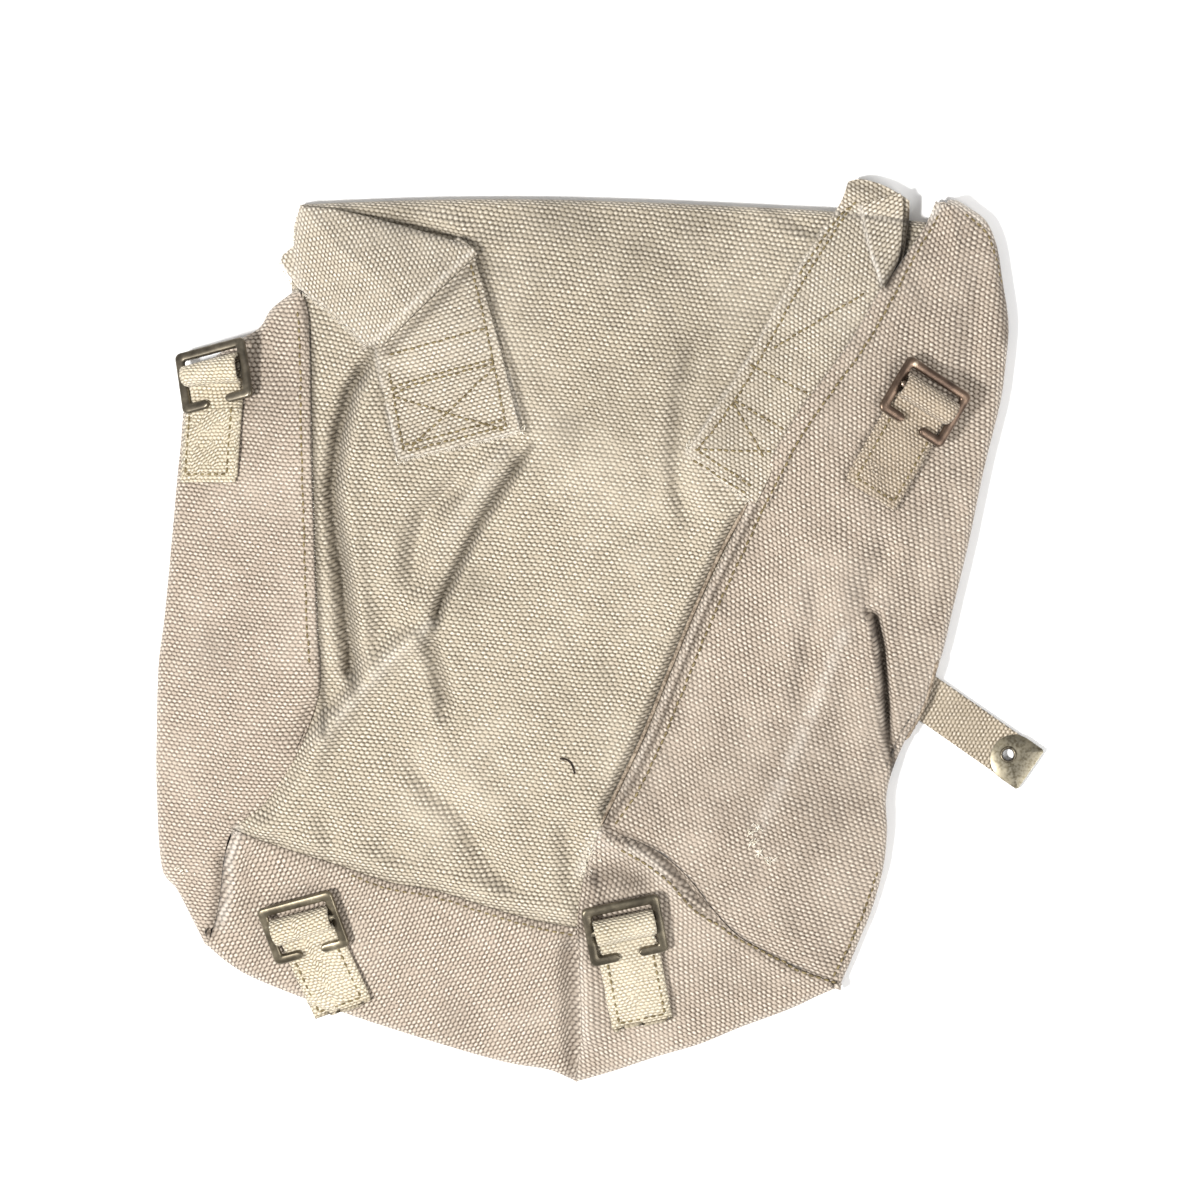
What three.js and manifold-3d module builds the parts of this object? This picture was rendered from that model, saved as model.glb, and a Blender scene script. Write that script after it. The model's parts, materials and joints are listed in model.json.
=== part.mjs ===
import * as THREE from 'three';
import { mergeVertices } from 'three/addons/utils/BufferGeometryUtils.js';
import Module from 'manifold-3d';

const wasm = await Module();
wasm.setup();

// A worn canvas haversack lying on its front with its back up.
// Millimetres, +Z up, the floor at z = 0, +Y towards the turned top edge.

// Bag
const BAG_WIDTH = 355; // left gusset fold to right gusset fold
const BAG_LENGTH = 368; // turned top edge to the lowest corner
const CROWN = 27; // swelling of the lying bag above its edge
const EDGE_ROLL = 78; // way in from the edge to the full swelling
const EDGE_HEIGHT = 6; // doubled cloth at the edge
const EDGE_INSET = 2.5; // rounding of that edge in plan
const HOLLOW_INSET = 6.5; // way in from the edge to the hollow inside
const CANVAS = 2;
const SLOPE_ALLOWANCE = 1.12; // upright thickness of a sloping canvas per thickness
const MOUTH = 0.94; // where the front panel's hem ends, share of the length
const FLAP_END = 0.4; // where the flap's lower edge lies, share of the length
const FLAP_CORNER = 0.62; // the flap's lower right corner, share of the width
const FLAP_EASE = 0.2; // from the flap's edge down to where the front touches the floor
const FLAP_HOLD = 0.06; // from the flap's edge down to where the front still keeps its height
const MOUTH_ROOM = 1; // above the front panel, under the back

// Fits
const CLEARANCE = 0.3; // between pieces that lie on each other
const SEAM_GAP = 0.5; // between panels sewn side by side
const FACET_REACH = 6; // how far around a point the cloth below it is looked at
const SLAB_STEP = 9; // between the points of a slab of cloth
const SEAT_STEPS = 12; // halvings in the search for a buckle's height on the cloth
const BELOW = -1; // where cuts start, under the floor

// Webbing
const CHAPE_WIDTH = 25.4;
const CHAPE_SHEET = 1.5;
const STRAP_WIDTH = 19;
const STRAP_SHEET = 1.4;
const TAB_SHEET = 2;

// Buckles
const BAR_RADIUS = 1.6;
const BAR_PLAY = 2.2; // radial room between the bar and the webbing's roll
const FRAME_SHEET = 2.2;
const FRAME_BAR = 3.4; // width of the frame's top and side bars
const FRAME_LENGTH = 26; // top of the frame to the ends of the lower corners
const BAR_DROP = 11.5; // top of the frame to the middle of the chape's bar
const PRONG_LENGTH = 12.2;
const PRONG_WIDTH = 4;
const CORNER_RADIUS = 1.6;

// Closing strap
const TIP_LENGTH = 18;
const TIP_SHEET = 0.5;
const EYELET_RADIUS = 3.5; // rim
const EYELET_HOLE = 2.3; // radius of the hole
const EYELET_SHEET = 0.5;
const EYELET_BACK = 11; // eyelet's middle to the strap's end

// Sizes that follow from the ones above
const tipHeight = STRAP_SHEET + 2 * CLEARANCE + 2 * TIP_SHEET;
const strapFloor = TIP_SHEET + CLEARANCE;
const bagLift = Math.max(CANVAS, strapFloor + STRAP_SHEET) + CLEARANCE;
const splitHeight = bagLift + CANVAS + MOUTH_ROOM;
const frameWidth = CHAPE_WIDTH + 2 * CLEARANCE + 2 * FRAME_BAR;
const rollRadius = BAR_RADIUS + BAR_PLAY + CHAPE_SHEET;
// The prongs rest on the chape.
const buckleDrop = rollRadius - 2 * CHAPE_SHEET - FRAME_SHEET / 2 - CLEARANCE;
const ceiling = 4 * CROWN + 4 * EDGE_HEIGHT;

// Outline of the lying bag, clockwise from the top left, as shares of its width and length.
const outlineShares = [
  [0.168, 0.992], [0.345, 0.998], [0.578, 0.994], [0.793, 0.985], [0.890, 0.972],
  [0.919, 0.998], [0.942, 0.997], [0.973, 0.974], [0.989, 0.919], [1.000, 0.855],
  [0.992, 0.776], [0.953, 0.610], [0.918, 0.473], [0.880, 0.389], [0.858, 0.334],
  [0.853, 0.241], [0.822, 0.154], [0.799, 0.106], [0.743, 0.082], [0.637, 0.043],
  [0.540, 0.014], [0.492, 0.000], [0.461, 0.014], [0.318, 0.047], [0.218, 0.079],
  [0.125, 0.113], [0.069, 0.146], [0.041, 0.186], [0.001, 0.255], [0.000, 0.330],
  [0.002, 0.473], [0.019, 0.624], [0.027, 0.708], [0.034, 0.782], [0.082, 0.827],
  [0.120, 0.854], [0.149, 0.887], [0.164, 0.910],
];

// Seams between the panels, in the same shares. Their ends pass the outline or the next seam.
const leftSeam = [
  [0.080, 0.925], [0.160, 0.903], [0.177, 0.880], [0.181, 0.827], [0.185, 0.691],
  [0.191, 0.523], [0.192, 0.473], [0.182, 0.410], [0.144, 0.327], [0.092, 0.287],
];
const lowLeftSeam = [[0.092, 0.287], [0.078, 0.252], [0.074, 0.211], [0.020, 0.090]];
const bottomSeam = [
  [0.092, 0.287], [0.132, 0.273], [0.218, 0.247], [0.330, 0.218], [0.442, 0.186], [0.494, 0.177],
];
const cornerSeam = [[0.494, 0.177], [0.506, 0.249], [0.522, 0.287]];
const rightSeam = [
  [0.522, 0.287], [0.545, 0.333], [0.575, 0.395], [0.606, 0.468], [0.636, 0.539],
  [0.694, 0.654], [0.743, 0.742], [0.813, 0.837], [0.869, 0.921], [0.886, 0.950], [0.886, 1.100],
];
const lowRightSeam = [
  [0.522, 0.287], [0.563, 0.275], [0.595, 0.258], [0.626, 0.231], [0.649, 0.200],
  [0.683, 0.161], [0.735, 0.136], [0.780, 0.112], [0.880, 0.050],
];

// Folds and hollows of the lying cloth: half widths are shares of the bag's width,
// rises are shares of the crown.
const folds = [
  { from: [0.43, 0.72], to: [0.33, 0.52], halfWidth: 0.030, rise: -0.16 },
  { from: [0.33, 0.50], to: [0.41, 0.24], halfWidth: 0.034, rise: -0.14 },
  { from: [0.24, 0.80], to: [0.21, 0.46], halfWidth: 0.034, rise: -0.20 },
  { from: [0.38, 0.78], to: [0.28, 0.55], halfWidth: 0.040, rise: 0.12 },
  { from: [0.30, 0.42], to: [0.16, 0.32], halfWidth: 0.050, rise: 0.14 },
  { from: [0.63, 0.82], to: [0.61, 0.66], halfWidth: 0.030, rise: -0.12 },
  { from: [0.53, 0.30], to: [0.70, 0.67], halfWidth: 0.026, rise: 0.14 },
  { from: [0.84, 0.53], to: [0.86, 0.34], halfWidth: 0.034, rise: -0.26 },
  { from: [0.80, 0.50], to: [0.71, 0.30], halfWidth: 0.036, rise: 0.16 },
  { from: [0.54, 0.28], to: [0.68, 0.16], halfWidth: 0.026, rise: -0.18 },
  { from: [0.50, 0.24], to: [0.49, 0.03], halfWidth: 0.024, rise: 0.16 },
  { from: [0.09, 0.28], to: [0.06, 0.17], halfWidth: 0.024, rise: -0.16 },
  { from: [0.10, 0.29], to: [0.49, 0.18], halfWidth: 0.030, rise: -0.12 },
];

// Shoulder tabs in the bag's shares
const leftTabShares = [[0.368, 0.945], [0.427, 0.734], [0.287, 0.703], [0.252, 0.832]];
const leftFoldShares = [
  [0.172, 0.986], [0.223, 0.982], [0.296, 0.965], [0.377, 0.938], [0.258, 0.829],
  [0.204, 0.874], [0.166, 0.896], [0.145, 0.926], [0.161, 0.945],
];
const rightTabShares = [
  [0.620, 0.708], [0.694, 0.816], [0.750, 0.914], [0.799, 0.985], [0.812, 1.019],
  [0.876, 1.002], [0.877, 0.955], [0.855, 0.915], [0.802, 0.837], [0.733, 0.742], [0.690, 0.668],
];
const rightFoldShares = [
  [0.826, 1.000], [0.835, 0.945], [0.849, 0.918], [0.868, 0.955], [0.868, 0.999],
];

// Buckles: the middle of each frame in the bag's shares, its turn in plan, how far its right
// side and its top rise, and the length of its chape and the chape's swing. Degrees and mm.
const buckles = [
  {
    name: 'upper_left',
    middle: [0.066, 0.798],
    turn: 14,
    rises: [22.4, -15.3],
    chape: 43.5,
    swing: -13.5,
  },
  {
    name: 'upper_right',
    middle: [0.900, 0.767],
    turn: -32.5,
    rises: [-17.4, -6.4],
    chape: 46.5,
    swing: 0,
  },
  {
    name: 'lower_left',
    middle: [0.172, 0.173],
    turn: 15,
    rises: [12, 19],
    chape: 40,
    swing: 5,
  },
  {
    name: 'lower_right',
    middle: [0.549, 0.171],
    turn: 12,
    rises: [-3.4, 20.2],
    chape: 43,
    swing: 0,
  },
];

// Closing strap: where it starts below the bag and where it ends, in the bag's shares
const strapStart = [0.830, 0.496];
const strapEnd = [1.024, 0.350];

function place([across, along]) {
  return new THREE.Vector2((across - 0.5) * BAG_WIDTH, along * BAG_LENGTH);
}

const outlineCurve = new THREE.CatmullRomCurve3(
  outlineShares.map((share) => place(share)).map((p) => new THREE.Vector3(p.x, p.y, 0)),
  true,
  'centripetal',
);

const SPOKES_PER_POINT = 2;
const outline = [];
for (let i = 0; i < outlineShares.length * SPOKES_PER_POINT; i++) {
  const p = outlineCurve.getPoint(i / (outlineShares.length * SPOKES_PER_POINT));
  outline.push(new THREE.Vector2(p.x, p.y));
}

function distanceToLine(point, from, to) {
  const line = to.clone().sub(from);
  const share = THREE.MathUtils.clamp(point.clone().sub(from).dot(line) / line.lengthSq(), 0, 1);
  return point.distanceTo(from.clone().addScaledVector(line, share));
}

function insideOutline(point) {
  let inside = false;
  for (let i = 0, j = outline.length - 1; i < outline.length; j = i++) {
    const a = outline[i];
    const b = outline[j];
    if (a.y > point.y !== b.y > point.y) {
      if (point.x < ((b.x - a.x) * (point.y - a.y)) / (b.y - a.y) + a.x) inside = !inside;
    }
  }
  return inside;
}

// How far inside the outline a point lies, and 0 outside it
function depthInside(point) {
  if (!insideOutline(point)) return 0;
  let nearest = Infinity;
  outline.forEach((corner, i) => {
    nearest = Math.min(nearest, distanceToLine(point, corner, outline[(i + 1) % outline.length]));
  });
  return nearest;
}

// Height of the bag's underside: it lies on the flap above, and on the floor below it.
function undersideHeight(point) {
  const low = (FLAP_END - FLAP_EASE) * BAG_LENGTH;
  const high = (FLAP_END - FLAP_HOLD) * BAG_LENGTH;
  return bagLift * THREE.MathUtils.smoothstep(point.y, low, high);
}

// Height of the cloth's upper face
function topHeight(point) {
  const swell = Math.sin((Math.PI / 2) * Math.min(depthInside(point) / EDGE_ROLL, 1));
  let height = CROWN * swell;
  for (const fold of folds) {
    const reach = fold.halfWidth * BAG_WIDTH;
    const away = distanceToLine(point, place(fold.from), place(fold.to)) / reach;
    height += CROWN * fold.rise * swell * Math.exp(-away * away);
  }
  return undersideHeight(point) + EDGE_HEIGHT + height;
}

// Bodies for cutting and joining

function toBody(geometry) {
  const bare = new THREE.BufferGeometry();
  bare.setAttribute('position', geometry.getAttribute('position').clone());
  if (geometry.index) bare.setIndex(geometry.index.clone());
  const merged = mergeVertices(bare, 1e-4);
  const mesh = new wasm.Mesh({
    numProp: 3,
    vertProperties: new Float32Array(merged.getAttribute('position').array),
    triVerts: new Uint32Array(merged.index.array),
  });
  return new wasm.Manifold(mesh);
}

function toGeometry(body) {
  const mesh = body.getMesh();
  const geometry = new THREE.BufferGeometry();
  geometry.setAttribute('position', new THREE.BufferAttribute(new Float32Array(mesh.vertProperties), 3));
  geometry.setIndex(new THREE.BufferAttribute(new Uint32Array(mesh.triVerts), 1));
  return geometry;
}

// Upright prism over a plan outline
function prism(points, low, high) {
  const geometry = new THREE.ExtrudeGeometry(new THREE.Shape(points), {
    depth: high - low,
    bevelEnabled: false,
    curveSegments: 4,
  });
  geometry.translate(0, 0, low);
  return toBody(geometry);
}

// Closed body through rings of points that run from the middle above, over the edge,
// to the middle below
function ringBody(rings, topMiddle, lowMiddle) {
  const count = rings[0].length;
  const positions = [...topMiddle.toArray()];
  rings.forEach((ring) => ring.forEach((p) => positions.push(p.x, p.y, p.z)));
  positions.push(...lowMiddle.toArray());
  const last = rings.length * count + 1;
  const faces = [];
  const at = (ring, spoke) => 1 + ring * count + (spoke % count);
  for (let spoke = 0; spoke < count; spoke++) {
    faces.push(0, at(0, spoke + 1), at(0, spoke));
    faces.push(last, at(rings.length - 1, spoke), at(rings.length - 1, spoke + 1));
    for (let ring = 0; ring < rings.length - 1; ring++) {
      const a = at(ring, spoke);
      const b = at(ring, spoke + 1);
      const c = at(ring + 1, spoke + 1);
      const d = at(ring + 1, spoke);
      faces.push(a, b, c, a, c, d);
    }
  }
  const geometry = new THREE.BufferGeometry();
  geometry.setAttribute('position', new THREE.Float32BufferAttribute(positions, 3));
  geometry.setIndex(faces);
  return toBody(geometry);
}

const bagMiddle = place([0.5, 0.5]);

// Outline drawn in towards the bag's middle by a length
function drawnIn(inset) {
  return outline.map((p) => {
    const inward = bagMiddle.clone().sub(p);
    return p.clone().addScaledVector(inward.normalize(), inset);
  });
}

// Share of the way from the drawn-in outline to the middle for each ring of the cloth
const ringShares = [0.88, 0.74, 0.6, 0.47, 0.35, 0.24, 0.14, 0.06, 0];
const underShares = [0, 0.25, 0.5, 0.75];

function bagBody(inset, top, edge, low) {
  const rim = drawnIn(inset);
  const start = drawnIn(inset + EDGE_INSET);
  const lift = (points, height) => points.map((p) => new THREE.Vector3(p.x, p.y, height(p)));
  const ring = (share) => start.map((p) => p.clone().lerp(bagMiddle, share));
  const rings = ringShares.map((share) => lift(ring(share), top));
  rings.push(lift(rim, edge));
  underShares.forEach((share) => rings.push(lift(ring(share), low)));
  const topMiddle = new THREE.Vector3(bagMiddle.x, bagMiddle.y, top(bagMiddle));
  const lowMiddle = new THREE.Vector3(bagMiddle.x, bagMiddle.y, low(bagMiddle));
  return ringBody(rings, topMiddle, lowMiddle);
}

const edgeMiddle = (p) => undersideHeight(p) + EDGE_HEIGHT / 2;
const outerBag = bagBody(0, topHeight, edgeMiddle, undersideHeight);
const innerBag = bagBody(
  HOLLOW_INSET,
  (p) => topHeight(p) - CANVAS * SLOPE_ALLOWANCE,
  (p) => edgeMiddle(p) + CANVAS / 2,
  (p) => undersideHeight(p) + CANVAS,
);

// Saw cut along a seam
function seamCut(shares) {
  const line = shares.map(place);
  const sides = [[], []];
  line.forEach((p, i) => {
    const before = line[Math.max(i - 1, 0)];
    const after = line[Math.min(i + 1, line.length - 1)];
    const run = after.clone().sub(before).normalize();
    const across = new THREE.Vector2(-run.y, run.x).multiplyScalar(SEAM_GAP / 2);
    sides[0].push(p.clone().add(across));
    sides[1].unshift(p.clone().sub(across));
  });
  return prism([...sides[0], ...sides[1]], BELOW, ceiling);
}

let shell = outerBag.subtract(innerBag);
for (const seam of [leftSeam, lowLeftSeam, bottomSeam, cornerSeam, rightSeam, lowRightSeam]) {
  shell = shell.subtract(seamCut(seam));
}

const regionOf = (...lines) => lines.flat().map(place);
const backRegion = regionOf(leftSeam, bottomSeam, cornerSeam, rightSeam, [[0.080, 1.100]]);
const leftRegion = regionOf(leftSeam, lowLeftSeam, [[-0.200, 0.090], [-0.200, 0.925]]);
const bottomRegion = regionOf(
  [...lowLeftSeam].reverse(),
  bottomSeam,
  cornerSeam,
  lowRightSeam,
  [[0.880, -0.200], [0.020, -0.200]],
);
const rightRegion = regionOf(
  rightSeam,
  [[1.200, 1.100], [1.200, 0.050]],
  [...lowRightSeam].reverse(),
);

const mouthLine = MOUTH * BAG_LENGTH;
const band = (low, high) => [
  new THREE.Vector2(-BAG_WIDTH, low),
  new THREE.Vector2(BAG_WIDTH, low),
  new THREE.Vector2(BAG_WIDTH, high),
  new THREE.Vector2(-BAG_WIDTH, high),
];

const panelIn = (region) => shell.intersect(prism(region, BELOW, ceiling));
const backShell = panelIn(backRegion);

// The back turns over the top edge and comes back below as the flap.
function backPanel() {
  const pastMouth = band(mouthLine + SEAM_GAP, 2 * BAG_LENGTH);
  const upper = backShell.intersect(prism(band(BELOW, 2 * BAG_LENGTH), splitHeight, ceiling));
  const turn = backShell.intersect(prism(pastMouth, BELOW, ceiling));
  const edge = drawnIn(EDGE_INSET).filter((p) => p.y > mouthLine);
  const leftEnd = Math.min(...edge.map((p) => p.x));
  const flapCorner = place([FLAP_CORNER, FLAP_END]);
  const seamSide = rightSeam.map(place).filter((p) => p.y > flapCorner.y && p.y < mouthLine);
  const rightEnd = seamSide[seamSide.length - 1].x;
  const flap = [
    new THREE.Vector2(leftEnd, mouthLine),
    new THREE.Vector2(leftEnd, flapCorner.y),
    flapCorner,
    new THREE.Vector2(rightEnd, mouthLine),
  ];
  const top = drawnIn(EDGE_INSET).filter((p) => p.y > mouthLine && p.x < rightEnd);
  top.sort((a, b) => a.x - b.x);
  const turnPlan = [flap[0], ...top, flap[3]];
  const lower = prism(flap, 0, CANVAS).add(prism(turnPlan, 0, CANVAS));
  const block = prism(turnPlan, CANVAS / 2, bagLift + CANVAS / 2);
  const clear = prism(band(BELOW, mouthLine + SEAM_GAP), CANVAS, ceiling);
  return upper.add(turn).add(lower).add(block.subtract(clear));
}

function frontPanel() {
  return backShell.intersect(prism(band(BELOW, mouthLine), BELOW, splitHeight - SEAM_GAP));
}

// Slab that follows the cloth below it, between two heights above that cloth
function clothSlab(points, low, high) {
  const box = new THREE.Box2().setFromPoints(points).expandByScalar(SLAB_STEP / 3);
  const size = box.getSize(new THREE.Vector2());
  const columns = Math.ceil(size.x / SLAB_STEP);
  const rows = Math.ceil(size.y / SLAB_STEP);
  const positions = [];
  const faces = [];
  const layer = (columns + 1) * (rows + 1);
  for (const above of [low, high]) {
    for (let row = 0; row <= rows; row++) {
      for (let column = 0; column <= columns; column++) {
        const x = box.min.x + (size.x * column) / columns;
        const y = box.min.y + (size.y * row) / rows;
        positions.push(x, y, clothBelow(new THREE.Vector2(x, y)) + above);
      }
    }
  }
  const at = (column, row, level) => level * layer + row * (columns + 1) + column;
  for (let row = 0; row < rows; row++) {
    for (let column = 0; column < columns; column++) {
      for (const level of [0, 1]) {
        const a = at(column, row, level);
        const b = at(column + 1, row, level);
        const c = at(column + 1, row + 1, level);
        const d = at(column, row + 1, level);
        if (level) faces.push(a, b, c, a, c, d);
        else faces.push(a, c, b, a, d, c);
      }
    }
  }
  const wall = (a, b) => {
    faces.push(a, b, b + layer, a, b + layer, a + layer);
  };
  for (let column = 0; column < columns; column++) {
    wall(at(column, 0, 0), at(column + 1, 0, 0));
    wall(at(column + 1, rows, 0), at(column, rows, 0));
  }
  for (let row = 0; row < rows; row++) {
    wall(at(columns, row, 0), at(columns, row + 1, 0));
    wall(at(0, row + 1, 0), at(0, row, 0));
  }
  const geometry = new THREE.BufferGeometry();
  geometry.setAttribute('position', new THREE.Float32BufferAttribute(positions, 3));
  geometry.setIndex(faces);
  return toBody(geometry).intersect(prism(points, BELOW, 2 * ceiling));
}

// The highest cloth around a point, so that a faceted slab stays clear of a faceted bag
function clothBelow(point) {
  let highest = 0;
  for (const [dx, dy] of [[0, 0], [1, 0], [-1, 0], [0, 1], [0, -1]]) {
    const near = new THREE.Vector2(point.x + dx * FACET_REACH, point.y + dy * FACET_REACH);
    highest = Math.max(highest, topHeight(near));
  }
  return highest;
}

// Tab sewn to the bag, double where it is folded over
function shoulderTab(tabShares, foldShares) {
  const single = clothSlab(tabShares.map(place), CLEARANCE, CLEARANCE + TAB_SHEET);
  const folded = clothSlab(foldShares.map(place), CLEARANCE, CLEARANCE + 2 * TAB_SHEET);
  return single.add(folded);
}

// Buckle, lying in its own plane: +Y towards the top bar, origin at the chape's bar
function roundedFrame(halfWidth, low, high, radius) {
  const shape = new THREE.Shape();
  shape.moveTo(-halfWidth + radius, low);
  shape.lineTo(halfWidth - radius, low);
  shape.absarc(halfWidth - radius, low + radius, radius, -Math.PI / 2, 0, false);
  shape.lineTo(halfWidth, high - radius);
  shape.absarc(halfWidth - radius, high - radius, radius, 0, Math.PI / 2, false);
  shape.lineTo(-halfWidth + radius, high);
  shape.absarc(-halfWidth + radius, high - radius, radius, Math.PI / 2, Math.PI, false);
  shape.lineTo(-halfWidth, low + radius);
  shape.absarc(-halfWidth + radius, low + radius, radius, Math.PI, 1.5 * Math.PI, false);
  return shape;
}

function plate(shape, thickness) {
  const geometry = new THREE.ExtrudeGeometry(shape, {
    depth: thickness,
    bevelEnabled: false,
    curveSegments: 4,
  });
  geometry.translate(0, 0, -thickness / 2);
  return toBody(geometry);
}

function buckleGeometry() {
  const top = BAR_DROP;
  const low = BAR_DROP - FRAME_LENGTH;
  const half = frameWidth / 2;
  const outer = plate(roundedFrame(half, low, top, CORNER_RADIUS), FRAME_SHEET);
  const round = CORNER_RADIUS / 2;
  const window = roundedFrame(half - FRAME_BAR, low + PRONG_WIDTH, top - FRAME_BAR, round);
  const halfGap = half - PRONG_LENGTH;
  const gap = roundedFrame(halfGap, low - 2 * PRONG_WIDTH, low + 2 * PRONG_WIDTH, round);
  const bar = new THREE.CylinderGeometry(BAR_RADIUS, BAR_RADIUS, frameWidth - FRAME_BAR, 10);
  bar.rotateZ(Math.PI / 2);
  const cut = 2 * FRAME_SHEET;
  const metal = outer.subtract(plate(window, cut)).subtract(plate(gap, cut)).add(toBody(bar));
  return toGeometry(metal).translate(0, 0, -buckleDrop);
}

// Chape: webbing rolled round the bar, sewn flat below it. Same origin as the buckle.
function chapeGeometry(length, swing) {
  const flat = 2 * CHAPE_SHEET;
  const side = new THREE.Shape();
  side.moveTo(-length, -rollRadius);
  side.lineTo(0, -rollRadius);
  side.absarc(0, 0, rollRadius, -Math.PI / 2, Math.PI + Math.asin(1 - flat / rollRadius), false);
  side.lineTo(-length, flat - rollRadius);
  const eye = new THREE.Path();
  eye.absarc(0, 0, BAR_RADIUS + BAR_PLAY, 0, 2 * Math.PI, true);
  side.holes.push(eye);
  const geometry = new THREE.ExtrudeGeometry(side, {
    depth: CHAPE_WIDTH,
    bevelEnabled: false,
    curveSegments: 8,
  });
  geometry.translate(0, 0, -CHAPE_WIDTH / 2);
  geometry.rotateX(Math.PI / 2);
  geometry.rotateZ(Math.PI / 2);
  const points = geometry.getAttribute('position');
  const pivot = new THREE.Vector2(0, -rollRadius);
  for (let i = 0; i < points.count; i++) {
    const point = new THREE.Vector2(points.getX(i), points.getY(i));
    if (point.y > -length / 2) continue;
    point.rotateAround(pivot, THREE.MathUtils.degToRad(swing));
    points.setXY(i, point.x, point.y);
  }
  return toGeometry(toBody(geometry));
}

// Where a buckle lies: turned in plan and tilted with the cloth, high above it
function seatBuckle({ middle, turn, rises }) {
  const angle = THREE.MathUtils.degToRad(turn);
  const right = new THREE.Vector2(Math.cos(angle), Math.sin(angle));
  const up = new THREE.Vector2(-right.y, right.x);
  const [slopeAcross, slopeAlong] = rises.map((rise) => Math.tan(THREE.MathUtils.degToRad(rise)));
  const acrossAxis = new THREE.Vector3(right.x, right.y, slopeAcross).normalize();
  const alongTry = new THREE.Vector3(up.x, up.y, slopeAlong).normalize();
  const normal = new THREE.Vector3().crossVectors(acrossAxis, alongTry).normalize();
  const alongAxis = new THREE.Vector3().crossVectors(normal, acrossAxis);
  const bar = place(middle).addScaledVector(up, FRAME_LENGTH / 2 - BAR_DROP);
  return new THREE.Matrix4().makeBasis(acrossAxis, alongAxis, normal).setPosition(bar.x, bar.y, ceiling);
}

// Lets a buckle and its chape down onto the bag until they just clear it
function letDown(seat, geometries) {
  const meets = (drop) =>
    geometries.some((geometry) => {
      const moved = geometry.clone().applyMatrix4(seat).translate(0, 0, -drop);
      return toBody(moved).intersect(outerBag).getMesh().triVerts.length > 0;
    });
  let free = 0;
  let meeting = ceiling;
  for (let i = 0; i < SEAT_STEPS; i++) {
    const between = (free + meeting) / 2;
    if (meets(between)) meeting = between;
    else free = between;
  }
  return new THREE.Matrix4().makeTranslation(0, 0, CLEARANCE - free).multiply(seat);
}

// Closing strap, flat on the floor, with the eyelet's hole
const strapFrom = place(strapStart);
const strapTo = place(strapEnd);
const strapRun = strapTo.clone().sub(strapFrom);
const strapLength = strapRun.length();
const strapTurn = new THREE.Matrix4().makeRotationZ(strapRun.angle());
strapTurn.setPosition(strapFrom.x, strapFrom.y, 0);

function rectangle(low, high, half) {
  return [
    new THREE.Vector2(low, -half),
    new THREE.Vector2(high, -half),
    new THREE.Vector2(high, half),
    new THREE.Vector2(low, half),
  ];
}

function roundCut(x, radius, height) {
  const cutter = new THREE.CylinderGeometry(radius, radius, height, 20);
  cutter.rotateX(Math.PI / 2);
  cutter.translate(x, 0, 0);
  return toBody(cutter);
}

const eyeletAt = strapLength - EYELET_BACK;
const eyeletTube = EYELET_HOLE + EYELET_SHEET;

function strapBody() {
  const plan = rectangle(0, strapLength - TIP_SHEET - CLEARANCE, STRAP_WIDTH / 2);
  const sheet = prism(plan, strapFloor, strapFloor + STRAP_SHEET);
  return sheet.subtract(roundCut(eyeletAt, eyeletTube + CLEARANCE, 4 * tipHeight));
}

// Brass sheet folded round the strap's end, with a half-round inner end
function tipBody() {
  const half = STRAP_WIDTH / 2 + TIP_SHEET;
  const roundStart = strapLength - TIP_LENGTH + half;
  const shape = new THREE.Shape();
  shape.moveTo(strapLength, -half);
  shape.lineTo(strapLength, half);
  shape.lineTo(roundStart, half);
  shape.absarc(roundStart, 0, half, Math.PI / 2, 1.5 * Math.PI, false);
  const solid = toBody(
    new THREE.ExtrudeGeometry(shape, { depth: tipHeight, bevelEnabled: false, curveSegments: 8 }),
  );
  const room = prism(
    rectangle(-strapLength, strapLength - TIP_SHEET, STRAP_WIDTH / 2 + CLEARANCE),
    TIP_SHEET,
    tipHeight - TIP_SHEET,
  );
  return solid.subtract(room).subtract(roundCut(eyeletAt, eyeletTube + CLEARANCE, 4 * tipHeight));
}

function eyeletGeometry() {
  const seat = tipHeight + CLEARANCE;
  const profile = [
    new THREE.Vector2(EYELET_HOLE, 0),
    new THREE.Vector2(eyeletTube, 0),
    new THREE.Vector2(eyeletTube, seat),
    new THREE.Vector2(EYELET_RADIUS, seat),
    new THREE.Vector2(EYELET_RADIUS - EYELET_SHEET / 2, seat + EYELET_SHEET),
    new THREE.Vector2(EYELET_HOLE, seat + EYELET_SHEET),
    new THREE.Vector2(EYELET_HOLE, 0),
  ];
  const geometry = new THREE.LatheGeometry(profile, 20);
  geometry.rotateX(Math.PI / 2);
  geometry.translate(eyeletAt, 0, 0);
  return geometry;
}

// Materials
const cloth = (color) => new THREE.MeshStandardMaterial({ color, roughness: 0.95, metalness: 0 });
const backCanvas = cloth(0xbeb598);
const gussetCanvas = cloth(0xc4b49c);
const webbing = cloth(0xd4cbac);
const brass = new THREE.MeshStandardMaterial({ color: 0x786f5c, roughness: 0.5, metalness: 0.9 });

// Assembly
const model = new THREE.Group();

function addPiece(name, geometry, material, matrix) {
  const mesh = new THREE.Mesh(geometry, material);
  mesh.name = name;
  if (matrix) mesh.applyMatrix4(matrix);
  model.add(mesh);
}

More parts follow.
